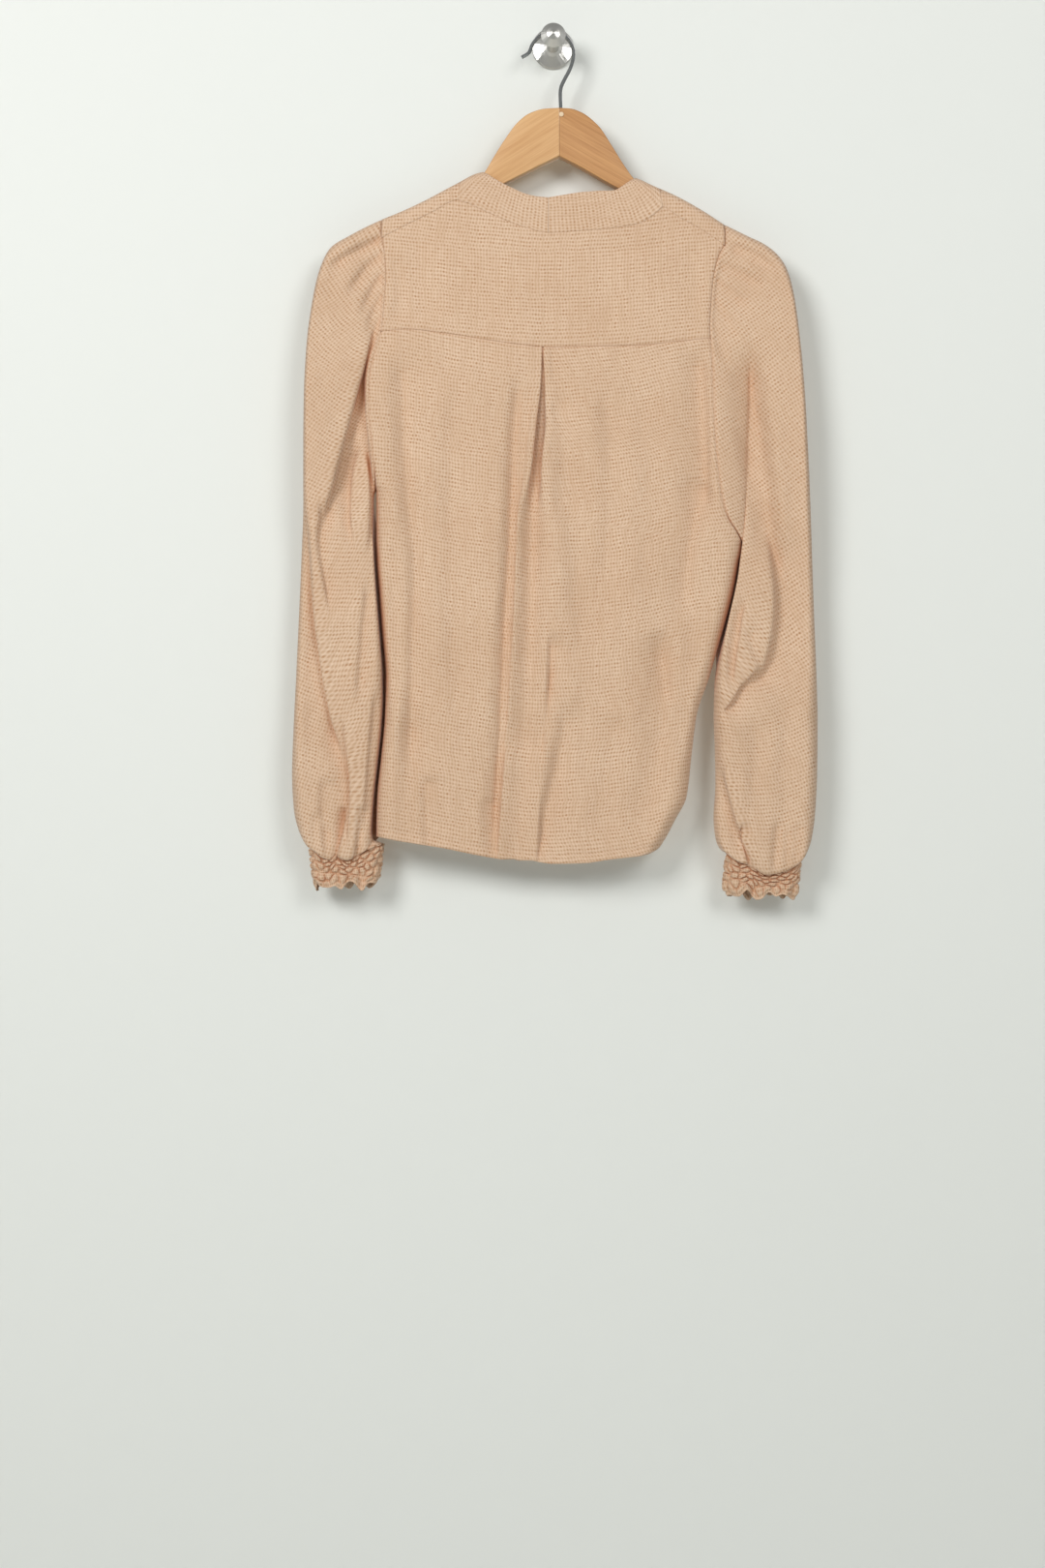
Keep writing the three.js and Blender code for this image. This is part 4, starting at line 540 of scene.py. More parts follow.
def groove(z):
    """Centre pleat as points right of x and behind y of the cloth, pressed above and soft below"""
    a, b = line["slitL"](z), line["slitR"](z)
    under, soft = pleat["under"](z), pleat["soft"](z)
    deep = pleat["depth"](z) * lerp(*SLIT_DEPTH, ease(SLIT_TOP, SLIT_DEEP_AT, z))
    deep = np.maximum(SLIT_LEAST, deep)
    b = a + (b - a) * lerp(*SLIT_WIDTH, ease(SLIT_TOP, SLIT_WIDE_AT, z))
    zero = np.zeros_like(z)
    # one side of the pressed pleat, from the flat cloth over the lip to the pleat's bottom
    half = [
        (-7 + zero, zero), (-3 + zero, zero - 0.1), (-0.9 + zero, zero), (zero, zero + 1.1),
        (-0.7 + zero, zero + 2.2), (-0.9 - under, zero + 2.6), (-1.3 - under, (3 + deep) / 2),
        (-0.9 - under, deep),
    ]
    points = [(a + px, py) for px, py in half] + [((a + b) / 2, deep)]
    points += [(b - px, py) for px, py in half[::-1]]
    width = 7 + 3 * soft
    knots = []
    for t, (px, py) in zip(np.linspace(0, 1, len(points)), points):
        wave_x, wave_y = lerp(a - width, b + width, t), deep * np.sin(math.pi * t) ** 2
        knots.append((lerp(px, wave_x, soft), lerp(py, wave_y, soft)))
    knots = np.array(knots)  # points, x and y, rows
    return np.array([smooth_through(knots, u) for u in np.linspace(0, len(points) - 1, 49)])


def smooth_through(knots, u):
    """Point at the running number u on a smooth curve through the knots"""
    i = int(min(u, len(knots) - 1.0001))
    t = u - i
    p0, p1 = knots[max(i - 1, 0)], knots[i]
    p2, p3 = knots[i + 1], knots[min(i + 2, len(knots) - 1)]
    m1, m2 = (p2 - p0) * 0.4, (p3 - p1) * 0.4
    return ((2 * t**3 - 3 * t**2 + 1) * p1 + (t**3 - 2 * t**2 + t) * m1
            + (3 * t**2 - 2 * t**3) * p2 + (t**3 - t**2) * m2)


def back_row(z):
    """Columns of the back at the heights z: x and extra depth, columns last"""
    g = groove(z)
    cuts = [body["left"](z), line["fold"](z), line["second"](z), g[0, 0]]
    right = [g[-1, 0], line["right"](z), body["right"](z)]
    shares_left = joined((0, 0.1, 4), (0.1, 1, 12)), joined((0, 1, 44)), joined((0, 1, 12))
    shares_right = joined((0, 1, 54)), joined((0, 0.9, 12), (0.9, 1, 4))
    before, after = [], []
    for a, b, shares in zip(cuts, cuts[1:], shares_left):
        before += [lerp(a, b, t) for t in shares[:-1]]
    for a, b, shares in zip(right, right[1:], shares_right):
        after += [lerp(a, b, t) for t in shares[1:]]
    xs = np.array([*before, *g[:, 0], *after])
    deep = np.zeros_like(xs)
    deep[len(before):len(before) + len(g)] = g[:, 1]
    return xs.T, deep.T


def back_grid():
    """Back, from the yoke seam to the hem, with its centre pleat and folds"""
    v = joined((0, 0.02, 5), (0.02, 1, 66), (1, 2, 150))
    w = np.clip(share_of(back_row(np.array([-400.0]))[0][0], -400.0), 0, 1)
    i = np.arange(len(w))
    seam = yoke_seam(across(w, yoke_seam))
    for _ in range(6):
        seam = yoke_seam(back_row(seam)[0][i, i])
    grid = []
    for t in v:
        level = lerp(seam, underarm(w), t) if t <= 1 else lerp(underarm(w), hem(w), t - 1)
        x, deep = (part[i, i] for part in back_row(level))
        middle = (line["slitL"](level) + line["slitR"](level)) / 2
        base = back_layer(np.where(deep != 0, middle, x), level, BACK_FOLDS)
        shift = np.where(deep != 0, 0, base[:, 0] - x)
        grid.append(np.stack([x + shift, base[:, 1] + deep, base[:, 2]], -1))
    grid = np.array(grid)
    flat = grid.copy()
    flat[..., 2] = 0
    run = np.cumsum(np.linalg.norm(np.diff(flat, axis=1, prepend=flat[:, :1]), axis=-1), axis=1)
    weave = np.stack([run + grid[:, :1, 0], tilt_rows(grid[..., 0], grid[..., 2])], -1)
    pressed(grid, 0, 0, YOKE_GROOVE, 1.5)
    pressed(grid, 0, 1, HEM_GROOVE, 1.7, HEM_STITCH)
    pressed(grid, 1, 0, ARMHOLE_GROOVE * (v <= 1.0))
    pressed(grid, 1, 1, ARMHOLE_GROOVE * (v <= 1.0))
    return grid, weave


def neck_edge(w):
    """Cloth distance from the ridge to the neck edge of the front"""
    x = across(w, yoke_top)
    seam = -down_from_ridge(x, yoke_top(x))
    t = np.where(w < V_SHARE, (w - CUT_LEFT) / (V_SHARE - CUT_LEFT),
                 (CUT_RIGHT - w) / (CUT_RIGHT - V_SHARE))
    start = -np.where(w < V_SHARE, down_from_ridge(*SHOULDER_LEFT), down_from_ridge(*SHOULDER_RIGHT))
    rest = (t - CORNER_SHARE) / (1 - CORNER_SHARE)
    inner = np.where(t < CORNER_SHARE, lerp(start, CORNER_DOWN, t / CORNER_SHARE),
                     lerp(CORNER_DOWN, V_POINT[1], rest))
    return np.where((w <= CUT_LEFT + 1e-9) | (w >= CUT_RIGHT - 1e-9), seam, inner)


def top_x(w):
    """x of the front's upper edge, straight between the two shoulder ends of the neck"""
    left, right = across(np.array(CUT_LEFT), yoke_top), across(np.array(CUT_RIGHT), yoke_top)
    straight = lerp(left, right, (w - CUT_LEFT) / (CUT_RIGHT - CUT_LEFT))
    return np.where((w <= CUT_LEFT) | (w >= CUT_RIGHT), across(w, yoke_top), straight)


def front_grid():
    """Front, from the shoulder seams over the ridge and down to the hem, open at the V neck"""
    left, right = (lerp(cut, V_SHARE, CORNER_SHARE) for cut in (CUT_LEFT, CUT_RIGHT))
    w = joined((0, CUT_LEFT, 30), (CUT_LEFT, left, 10), (left, V_SHARE, 30), (V_SHARE, right, 30),
               (right, CUT_RIGHT, 10), (CUT_RIGHT, 1, 28))
    top, level = neck_edge(w), underarm(w)
    under = down_from_ridge(top_x(w), level)
    outer = (w <= CUT_LEFT) | (w >= CUT_RIGHT)
    first = np.where((top < 0) & outer, 0.0, lerp(top, under, 0.05))
    grid = []
    for t in joined((-1, 0, 12), (0, 1, 70))[:-1]:
        s = lerp(top, first, t + 1) if t < 0 else lerp(first, under, t)
        z = front_layer(top_x(w), s)[..., 2]
        wide = np.where(s < 0, top_x(w), lerp(body["left"](z), body["right"](z), w))
        x = lerp(top_x(w), wide, ease(0, SPREAD, s - top))
        grid.append(front_layer(x, np.where(s < BEND, s, down_from_ridge(x, z)), FRONT_FOLDS))
    for t in np.linspace(0, 1, 120):
        z = lerp(level, hem(w) + 4 * np.sin(math.pi * w), t)
        x = lerp(body["left"](z), body["right"](z), w)
        grid.append(front_layer(x, down_from_ridge(x, z), FRONT_FOLDS))
    grid = np.array(grid)
    return grid, np.stack([grid[..., 0], grid[..., 2]], -1)


def band_grid(right):
    """Neck band from the centre-back seam over the shoulder to the mitre at the V"""
    sign = -1 if right else 1
    cut, side = (CUT_RIGHT, "right") if right else (CUT_LEFT, "left")
    m = joined((0, 6, 60), (6, 9, 18), (9, 10, 69))
    back = lerp(CENTRE, cut, m / 6)
    t = np.where(m < 9, CORNER_SHARE * (m - 6) / 3, CORNER_SHARE + (1 - CORNER_SHARE) * (m - 9))
    w = np.where(m <= 6, back, lerp(cut, V_SHARE, np.clip(t, 0, 1)))
    bx = across(w, yoke_top)
    seam_x = np.where(m <= 6, bx, top_x(w))
    seam_s = np.where(m <= 6, -down_from_ridge(bx, yoke_top(bx)), neck_edge(np.where(m <= 6, cut, w)))
    edge_x = reader(BAND_EDGE, "m", side + "X")
    edge_s = reader(BAND_EDGE, "m", side + "S")
    along = np.clip(m - 9, 0, 1)
    inner_x = np.where(m <= 9, edge_x(m), lerp(edge_x(9), V_POINT[0], along))
    inner_s = np.where(m <= 9, edge_s(m), lerp(edge_s(9), V_POINT[1] - BAND_MITRE, along))
    r = np.linspace(0, 1, 20)[:, None]
    x, s = lerp(seam_x, inner_x, r), lerp(seam_s, inner_s, r)
    grid = front_layer(x - sign * BAND_APART * (m == 0), s)
    run = np.cumsum(np.r_[0, np.linalg.norm(np.diff(grid[10], axis=0), axis=1)])
    high = np.linalg.norm(grid[0] - grid[-1], axis=1)
    weave = np.stack([np.broadcast_to(r * high, x.shape), np.broadcast_to(run * sign, x.shape)], -1)
    return grid, weave


def armhole(s, near, right):
    """Armhole edge of the body, s from the ridge down to the underarm, of the layer near or far"""
    edge, low = body["right" if right else "left"], UNDERARM_RIGHT if right else UNDERARM_LEFT
    share = np.array(1.0 if right else 0.0)
    corner, start = float(top_x(share)), float(neck_edge(share))
    z = lerp(float(ridge(corner)), low, s)
    if near:
        x = np.where(z > yoke_top(corner), corner, edge(z))
        return front_layer(x, -down_from_ridge(x, z))
    x = lerp(corner, edge(z), ease(0, SPREAD, down_from_ridge(corner, z) - start))
    return front_layer(x, down_from_ridge(x, z))


def overhang(x, z, s, sag, hang):
    """How far the bloused cloth hangs below the seam of the cuff"""
    return sag * (z - hang(x)) / 11 * ease(0, 0.08, s) * ease(1, 0.92, s)


def sleeve_grid(right):
    """Sleeve as a flattened tube: near side, then far side, from the armhole to the cuff seam"""
    table, folds, heads, hang = (
        (SLEEVE_RIGHT, SLEEVE_RIGHT_FOLDS, HEAD_RIGHT, OVERHANG_RIGHT) if right
        else (SLEEVE_LEFT, SLEEVE_LEFT_FOLDS, HEAD_LEFT, OVERHANG_LEFT))
    row, over = readers(table, "v"), reader(hang, "x", "z")
    half = 70
    angle = joined((0, math.pi, half), (math.pi, 2 * math.pi, half))
    s = 0.5 - 0.5 * np.cos(angle)
    s = lerp(s, (s * s * (3 - 2 * s)), -0.25)
    near = angle <= math.pi + 1e-9
    v = joined((0, 0.25, 7), (0.25, 2, 14), (2, 15, 185), (15, 19, 42))[:, None]
    ox, oz, ix, iz = row["ox"](v), row["oz"](v), row["ix"](v), row["iz"](v)
    long = np.hypot(ox - ix, oz - iz)
    turn = lerp(SLEEVE_ROUND, CUFF_HALF, ease(16, 19, v))
    thick = quarter(s * long / turn) * quarter((1 - s) * long / turn)
    y0, y1 = row["near"](v), row["far"](v)
    mid = (y0 + y1) / 2
    x, z = lerp(ox, ix, s), lerp(oz, iz, s)
    z = z - np.where(near, overhang(x, z, s, row["sag"](v), over), 0)
    x, z = np.broadcast_arrays(x, z)
    grid = np.stack([x, np.where(near, lerp(mid, y0, thick), lerp(mid, y1, thick)), z], -1)
    hole = np.where(near[:, None], armhole(s, True, right), armhole(s, False, right))
    grid += (hole - grid[0]) * (1 - ease(0, 1.4 if right else 2.5, v))[..., None]
    under = ease(1, 4, v) * ease(11, 8, v) if right else ease(2, 6, v) * ease(18, 16.5, v)
    inward = np.where(near, OVER_BODY, UNDER_BODY) * (-1 if right else 1)
    grid[..., 0] += inward * under * ease(1, 0.96, s) * ease(0.7, 0.9, s)
    turned = np.clip(grid[..., 1] - y0 - 6, 0, None) * ease(0, 2, v)
    through = np.clip(y1 - y0 - 6, 0, None)
    turned = np.where(near, np.where(s < 0.5, -turned, turned),
                      np.where(s < 0.5, -turned, turned - 2 * through))
    x, z = grid[..., 0].copy(), grid[..., 2].copy()
    ends = ease(0, 2, v) * ease(19, 18, v) * thick
    head = quarter(s * long / 9) * quarter((1 - s) * long / 14) * ease(0, 0.3, v)
    crease, pinch = folded(folds, x, z), folded(heads, x, z)
    rough = crumple(x, z, 4.0 if right else 6.0) * ends
    grid[..., 1] += np.where(near, crease[0] * ends + pinch[0] * head + 0.8 * rough,
                             -0.45 * crease[0] * ends - 0.8 * pinch[0] * head + 0.6 * rough)
    grid[..., 0] += np.where(near, crease[1] * ends + pinch[1] * head, 0)
    grid[..., 2] += np.where(near, crease[2] * ends + pinch[2] * head, 0)
    pressed(grid, 0, 0, ARMHOLE_GROOVE * near)
    weave = sleeve_weave(x, z, near, int(right))
    weave[..., 0] += turned
    return grid, weave


def sleeve_weave(x, z, near, right):
    """Pattern coordinates whose rows have the slopes of the table"""
    table = SLEEVE_TILT_RIGHT if right else SLEEVE_TILT_LEFT
    high, off = np.arange(-150.0, -860.0, -2.0), np.arange(0.0, 130.0, 2.0)
    knots = np.array([reader(table, "z", name)(high) for name in "abcd"])
    slope = np.radians([np.interp(off - 12, SLEEVE_OFFS[right], k) for k in knots.T])
    v = np.cumsum(np.sin(slope), axis=1) * 2 - np.cumsum(np.cos(slope[:, :1]), axis=0) * 2
    u = np.cumsum(np.cos(slope), axis=1) * 2 + np.cumsum(np.sin(slope[:, :1]), axis=0) * 2
    across_off = np.clip((240 - np.abs(x)) / 2 + 6, 0, len(off) - 1.01)
    down = np.clip((-150 - z) / 2, 0, len(high) - 1.01)
    i, j = down.astype(int), across_off.astype(int)
    f, g = down - i, across_off - j

    def between(t):
        return lerp(lerp(t[i, j], t[i, j + 1], g), lerp(t[i + 1, j], t[i + 1, j + 1], g), f)

    u, v = between(u), between(v)
    return np.stack([np.where(near, u, 2 * u[:, :1] - u), v], -1)


def cuff_point(row, v, t, near, hang):
    """Point of the plain cuff at the share v of its height and the share t of its width"""
    ox, oz, ix, iz, half = (row[n](v) for n in ("ox", "oz", "ix", "iz", "half"))
    long = np.hypot(ox - ix, oz - iz)
    thick = quarter(t * long / half) * quarter((1 - t) * long / half)
    side = np.where(near, -1, 1)
    x, z = lerp(ox, ix, t), lerp(oz, iz, t)
    top = np.where(near, overhang(x, lerp(oz[0], iz[0], t), t, row["sag"](v), hang), 0)
    return np.stack([x, CUFF_Y + side * half * thick, z - top], -1)


def puffed(c, level, draw):
    """Height of the smocking between 0 in the drawn-in creases and 1, around jittered centres"""
    shape = (PUFF_ROWS + 2, PUFFS)
    jump_c, jump_l = draw.uniform(-0.42, 0.42, shape), draw.uniform(-0.4, 0.4, shape)
    first, second = np.full(c.shape, 9.0), np.full(c.shape, 9.0)
    k0, c0 = np.floor(level).astype(int), np.floor(c).astype(int)
    for dk in (-1, 0, 1):
        for dc in (-2, -1, 0, 1, 2):
            k, i = k0 + dk, c0 + dc
            row = np.clip(k, -1, PUFF_ROWS) + 1
            cc = i + 0.5 + 0.5 * (k % 2) + jump_c[row, i % PUFFS]
            far = np.hypot((c - cc) * PUFF_WIDE, (level - k - 0.5 - jump_l[row, i % PUFFS]) * PUFF_HIGH)
            second = np.minimum(second, np.maximum(first, far))
            first = np.minimum(first, far)
    return ease(0, 2.2, second - first) ** 0.7 * (1 - 0.03 * first**2).clip(0.3, 1)


def cuff_grid(right, raise_mm):
    """Smocked cuff: rows of puffs in an uneven brick pattern, then the frill"""
    row = readers(CUFF_RIGHT if right else CUFF_LEFT, "v")
    n = PUFFS * 14
    j = np.arange(n + 1)
    long = float(np.hypot(row["ox"](0) - row["ix"](0), row["oz"](0) - row["iz"](0)))
    arc, straight = math.pi / 2 * CUFF_HALF, long - 2 * CUFF_HALF
    side = 2 * arc + straight
    a = np.where(j <= n / 2, j, n - j) * (side / (n / 2))
    start, end = (CUFF_HALF * (1 - np.cos(b / CUFF_HALF)) / long for b in (a, side - a))
    t = np.where(a < arc, start, np.where(a > arc + straight, 1 - end, (CUFF_HALF + a - arc) / long))
    near = j <= n / 2
    v = np.linspace(0, 1, 84)[:, None]
    hang = reader(OVERHANG_RIGHT if right else OVERHANG_LEFT, "x", "z")
    p = cuff_point(row, v, t, near, hang)
    du = np.gradient(p, axis=1)
    du[:, 0] = du[:, -1] = p[:, 1] - p[:, -2]
    dv = np.gradient(p, axis=0)
    normal = np.cross(du, dv)
    normal /= np.linalg.norm(normal, axis=-1, keepdims=True)
    outward = -1 if normal[30, n // 4, 1] > 0 else 1
    draw = np.random.default_rng(7 + right)
    phase = draw.uniform(0, 2 * math.pi, 6)
    turn = 2 * math.pi * j / n
    level = v / FRILL_FROM * PUFF_ROWS
    level = level + 0.3 * np.sin(3 * turn + phase[0]) + 0.2 * np.sin(7 * turn + phase[1])
    puff = puffed(*np.broadcast_arrays(j / n * PUFFS, level), draw) * ease(1.0, 0.86, v)
    frill = ease(FRILL_FROM - 0.12, 1, v)
    wave = np.sin(8 * turn + phase[2]) + 0.6 * np.sin(13 * turn + phase[3])
    wave += 0.2 * np.sin(21 * turn + phase[4])
    drop = 1.1 * (np.sin(5 * turn + phase[5]) + np.sin(8 * turn + phase[2] + 0.8))
    drop += 0.3 * np.sin(14 * turn + phase[0])
    out = raise_mm * (puff - 0.5) + (FRILL_WAVE * wave + FRILL_OUT) * frill
    p = p + normal * outward * out[..., None]
    p[..., 2] += (FRILL_DROP * drop - FRILL_LONG) * frill
    weave = np.stack(np.broadcast_arrays(CUFF_ROUND * j / n, -CUFF_HIGH * v), -1)
    p[:, -1] = p[:, 0]
    return p, weave


def from_grid(name, grid):
    """A mesh whose points stand at the places of the grid, given in millimetres"""
    rows, cols = grid.shape[:2]
    bpy.ops.object.select_all(action="DESELECT")
    bpy.ops.mesh.primitive_grid_add(x_subdivisions=cols - 1, y_subdivisions=rows - 1, size=1)
    piece = bpy.context.object
    piece.name = piece.data.name = name
    piece.data.vertices.foreach_set("co", (grid / 1000).astype(np.float32).ravel())
    return piece


def wooden_arm(name, node_name, table, sign):
    """Flat hanger arm with rounded edges, a ring of points per station, closed at both ends"""
    top, low = reader(table, "x", "top"), reader(table, "x", "low")
    x = joined((table["x"][0], 60, 30), (60, table["x"][-1], 36))
    turn = np.linspace(0, 2 * math.pi, 33)
    corner_x, corner_z = np.sign(np.round(np.cos(turn), 6)), np.sign(np.round(np.sin(turn), 6))
    half_y = lerp((WOOD_Y[1] - WOOD_Y[0]) / 2, WOOD_END, ease(95, 150, x))[:, None]
    half_z = (top(x) - low(x))[:, None] / 2
    y = corner_x * (half_y - WOOD_ROUND) + WOOD_ROUND * np.cos(turn)
    z = corner_z * (half_z - WOOD_ROUND) + WOOD_ROUND * np.sin(turn)
    grid = np.stack(np.broadcast_arrays((MITRE_X + sign * x)[:, None], y + sum(WOOD_Y) / 2,
                                        z + (top(x) + low(x))[:, None] / 2), -1)
    ends = [np.broadcast_to(grid[i, :-1].mean(axis=0), grid[i].shape) for i in (0, -1)]
    grid = np.concatenate([ends[:1], grid, ends[1:]])
    arm = from_grid(name, grid)
    bpy.ops.object.mode_set(mode="EDIT")
    bpy.ops.mesh.select_all(action="SELECT")
    bpy.ops.mesh.remove_doubles(threshold=1e-5)
    bpy.ops.mesh.normals_make_consistent(inside=False)
    bpy.ops.object.mode_set(mode="OBJECT")
    bpy.ops.object.shade_smooth_by_angle(angle=math.radians(40))
    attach(arm, "root")
    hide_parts(node_name)
    return arm


def cloth_sheet(name, node_name, grid, weave, wall, flip=False, ring=False, held="hung", flat=None,
                area=None, on=()):
    """A sheet of cloth from a grid of points in millimetres, laid out from the flat cut"""
    piece = from_grid(name, grid)
    mesh = piece.data
    corner = np.empty(len(mesh.loops), np.int32)
    mesh.loops.foreach_get("vertex_index", corner)
    flat_map = (np.asarray(weave).reshape(-1, 2) / 1000).astype(np.float32)
    mesh.uv_layers.active.uv.foreach_set("vector", flat_map[corner].ravel())
    mesh.update()
    bpy.ops.object.mode_set(mode="EDIT")
    bpy.ops.mesh.select_all(action="SELECT")
    if ring:
        bpy.ops.mesh.remove_doubles(threshold=0.00001)
    if flip:
        bpy.ops.mesh.flip_normals()
    bpy.ops.object.mode_set(mode="OBJECT")
    shell = piece.modifiers.new("wall", "SOLIDIFY")
    shell.thickness, shell.offset = wall / 1000, -1
    bpy.ops.object.modifier_apply(modifier=shell.name)
    bpy.ops.object.shade_smooth()
    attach(piece, "root")
    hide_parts(node_name)
    return piece


def linear(hex_colour):
    """sRGB hex to the linear colour that the shaders take"""
    value = hex_colour.lstrip("#")
    parts = [int(value[i:i + 2], 16) / 255 for i in (0, 2, 4)]
    return (*[c / 12.92 if c <= 0.04045 else ((c + 0.055) / 1.055) ** 2.4 for c in parts], 1.0)


def add_node(tree, kind, inputs=(), **settings):
    """Adds a node; inputs are pairs of socket and value, or of socket and another node's output"""
    made = tree.nodes.new(kind)
    for key, value in settings.items():
        setattr(made, key, value)
    for socket, value in inputs:
        if isinstance(value, bpy.types.NodeSocket):
            tree.links.new(value, made.inputs[socket])
        else:
            made.inputs[socket].default_value = value
    return made


def new_material(name):
    """A new material with its node tree and its Principled shader"""
    material = bpy.data.materials.new(name)
    material.use_nodes = True
    tree = material.node_tree
    shader = tree.nodes["Principled BSDF"]
    return material, tree, shader


def maths(tree, operation, a, b=0.0):
    return add_node(tree, "ShaderNodeMath", [(0, a), (1, b)], operation=operation).outputs[0]


def noise(tree, place, scale=1.0, detail=2.0, roughness=0.5):
    inputs = [("Vector", place), ("Scale", scale), ("Detail", detail), ("Roughness", roughness)]
    return add_node(tree, "ShaderNodeTexNoise", inputs).outputs[0]


def stretched(tree, place, scale):
    return add_node(tree, "ShaderNodeMapping", [("Vector", place), ("Scale", scale)]).outputs[0]


def remap(tree, value, from_min, from_max, to_min=0.0, to_max=1.0, **settings):
    inputs = [("Value", value), ("From Min", from_min), ("From Max", from_max), ("To Min", to_min),
              ("To Max", to_max)]
    return add_node(tree, "ShaderNodeMapRange", inputs, **settings).outputs[0]


def blend(tree, share, first, second):
    """Mix of two colours"""
    inputs = [(0, share), (6, first), (7, second)]
    return add_node(tree, "ShaderNodeMix", inputs, data_type="RGBA").outputs[2]


def relief(tree, shader, height, strength, distance):
    """Bump of the surface; the distance is in metres"""
    inputs = [("Height", height), ("Strength", strength), ("Distance", distance)]
    tree.links.new(add_node(tree, "ShaderNodeBump", inputs).outputs[0], shader.inputs["Normal"])


def band_mask(tree, value, inner, outer):
    """1 within inner of the middle of each unit step, 0 beyond outer"""
    off = maths(tree, "ABSOLUTE", maths(tree, "SUBTRACT", maths(tree, "FRACT", value), 0.5))
    return remap(tree, off, inner, outer, 1.0, 0.0, interpolation_type="SMOOTHSTEP")


def dotted_crepe(sizes):
    """Polyester crepe, woven with broken crosswise cords: matt, with fine dotted rows and soft sheen"""
    material, tree, shader = new_material("dotted_crepe_weave")
    place = add_node(tree, "ShaderNodeUVMap", uv_map="UVMap").outputs[0]
    split = add_node(tree, "ShaderNodeSeparateXYZ", [(0, place)])
    # rows and the dots along them, both swaying a little
    sway = maths(tree, "SUBTRACT", noise(tree, place, 60.0), 0.5)
    sway = maths(tree, "MULTIPLY", sway, 0.8)
    row = maths(tree, "MULTIPLY", split.outputs[1], 1000 / sizes.row_pitch)
    row = maths(tree, "ADD", row, sway)
    row_id = maths(tree, "FLOOR", row)
    shift = add_node(tree, "ShaderNodeTexWhiteNoise", [("W", row_id)], noise_dimensions="1D").outputs[0]
    dot = maths(tree, "MULTIPLY", split.outputs[0], 1000 / sizes.dot_pitch)
    dot = maths(tree, "ADD", dot, maths(tree, "ADD", maths(tree, "MULTIPLY", shift, 0.6), sway))
    dot_id = maths(tree, "FLOOR", dot)
    spot = add_node(tree, "ShaderNodeCombineXYZ", [(0, dot_id), (1, row_id)]).outputs[0]
    chance = add_node(tree, "ShaderNodeTexWhiteNoise", [("Vector", spot)], noise_dimensions="2D")
    # each dot has its own strength, and lengthwise streaks run through them
    streak = noise(tree, stretched(tree, place, (300.0, 24.0, 1.0)))
    streak = remap(tree, streak, 0.34, 0.64)
    strength = remap(tree, chance.outputs[0], 0.0, 1.0, 0.45, 1.0)
    fade = maths(tree, "ADD", maths(tree, "MULTIPLY", streak, 0.6), 0.5)
    strength = maths(tree, "MULTIPLY", strength, fade)
    dots = maths(tree, "MAXIMUM", band_mask(tree, dot, 0.16, 0.46), 0.42)
    dots = maths(tree, "MULTIPLY", dots, strength)
    cord = maths(tree, "MULTIPLY", band_mask(tree, row, 0.1, 0.36), dots)
    # lighter lengthwise threads between the dots, then large faint mottling
    gaps = maths(tree, "SUBTRACT", 1.0, band_mask(tree, dot, 0.1, 0.45))
    threads = maths(tree, "MULTIPLY", maths(tree, "ADD", gaps, streak), 0.36)
    ground = blend(tree, threads, linear(sizes.ground_colour), linear(sizes.thread_colour))
    shade = remap(tree, noise(tree, place, 14.0, 3.0), 0.35, 0.65, 0.0, 0.16)
    worn = blend(tree, shade, ground, linear(sizes.dot_colour))
    colour = blend(tree, cord, worn, linear(sizes.dot_colour))
    # painted shade and reddish bounce light between cloth and cloth, deep in the folds: where ambient
    # occlusion finds cloth close by, the colour turns towards the painted fold shade colour
    open_sky = add_node(tree, "ShaderNodeAmbientOcclusion", [("Distance", sizes.painted_fold_shade_reach / 1000)],
                        samples=4)
    closed = remap(tree, open_sky.outputs["AO"], 0.8, 0.3, 0.0, 0.8)
    painted_fold_shade = blend(tree, closed, colour, linear(sizes.painted_fold_shade_colour))
    tree.links.new(painted_fold_shade, shader.inputs["Base Color"])
    grain = maths(tree, "MULTIPLY", noise(tree, place, 620.0, 3.0), 0.9)
    height = maths(tree, "ADD", maths(tree, "MULTIPLY", cord, -0.6), grain)
    relief(tree, shader, height, 0.55, 0.0006)
    shader.inputs["Roughness"].default_value = 0.85
    shader.inputs["Specular IOR Level"].default_value = 0.3
    shader.inputs["Sheen Weight"].default_value = 0.22
    shader.inputs["Sheen Roughness"].default_value = 0.45
    return material


def sawn_wood(name, angle, light, dark):
    """Oiled hardwood board of a flat hanger: long grain down the arm, satin, a few darker streaks"""
    material, tree, shader = new_material(name)
    place = add_node(tree, "ShaderNodeTexCoord").outputs["Object"]
    turned = [("Vector", place), ("Rotation", (0, angle, 0))]
    along = add_node(tree, "ShaderNodeMapping", turned).outputs[0]
    streak = noise(tree, stretched(tree, along, (24.0, 500.0, 900.0)), 1.0, 4.0, 0.6)
    cloud = noise(tree, stretched(tree, along, (5.0, 60.0, 90.0)))
    mix = maths(tree, "ADD", maths(tree, "MULTIPLY", streak, 0.6), maths(tree, "MULTIPLY", cloud, 0.5))
    ramp = add_node(tree, "ShaderNodeValToRGB", [(0, mix)])
    first, last = ramp.color_ramp.elements
    first.position, first.color = 0.36, linear(dark)
    last.position, last.color = 0.72, linear(light)
    tree.links.new(ramp.outputs[0], shader.inputs["Base Color"])
    relief(tree, shader, streak, 0.12, 0.0004)
    shader.inputs["Roughness"].default_value = 0.46
    return material


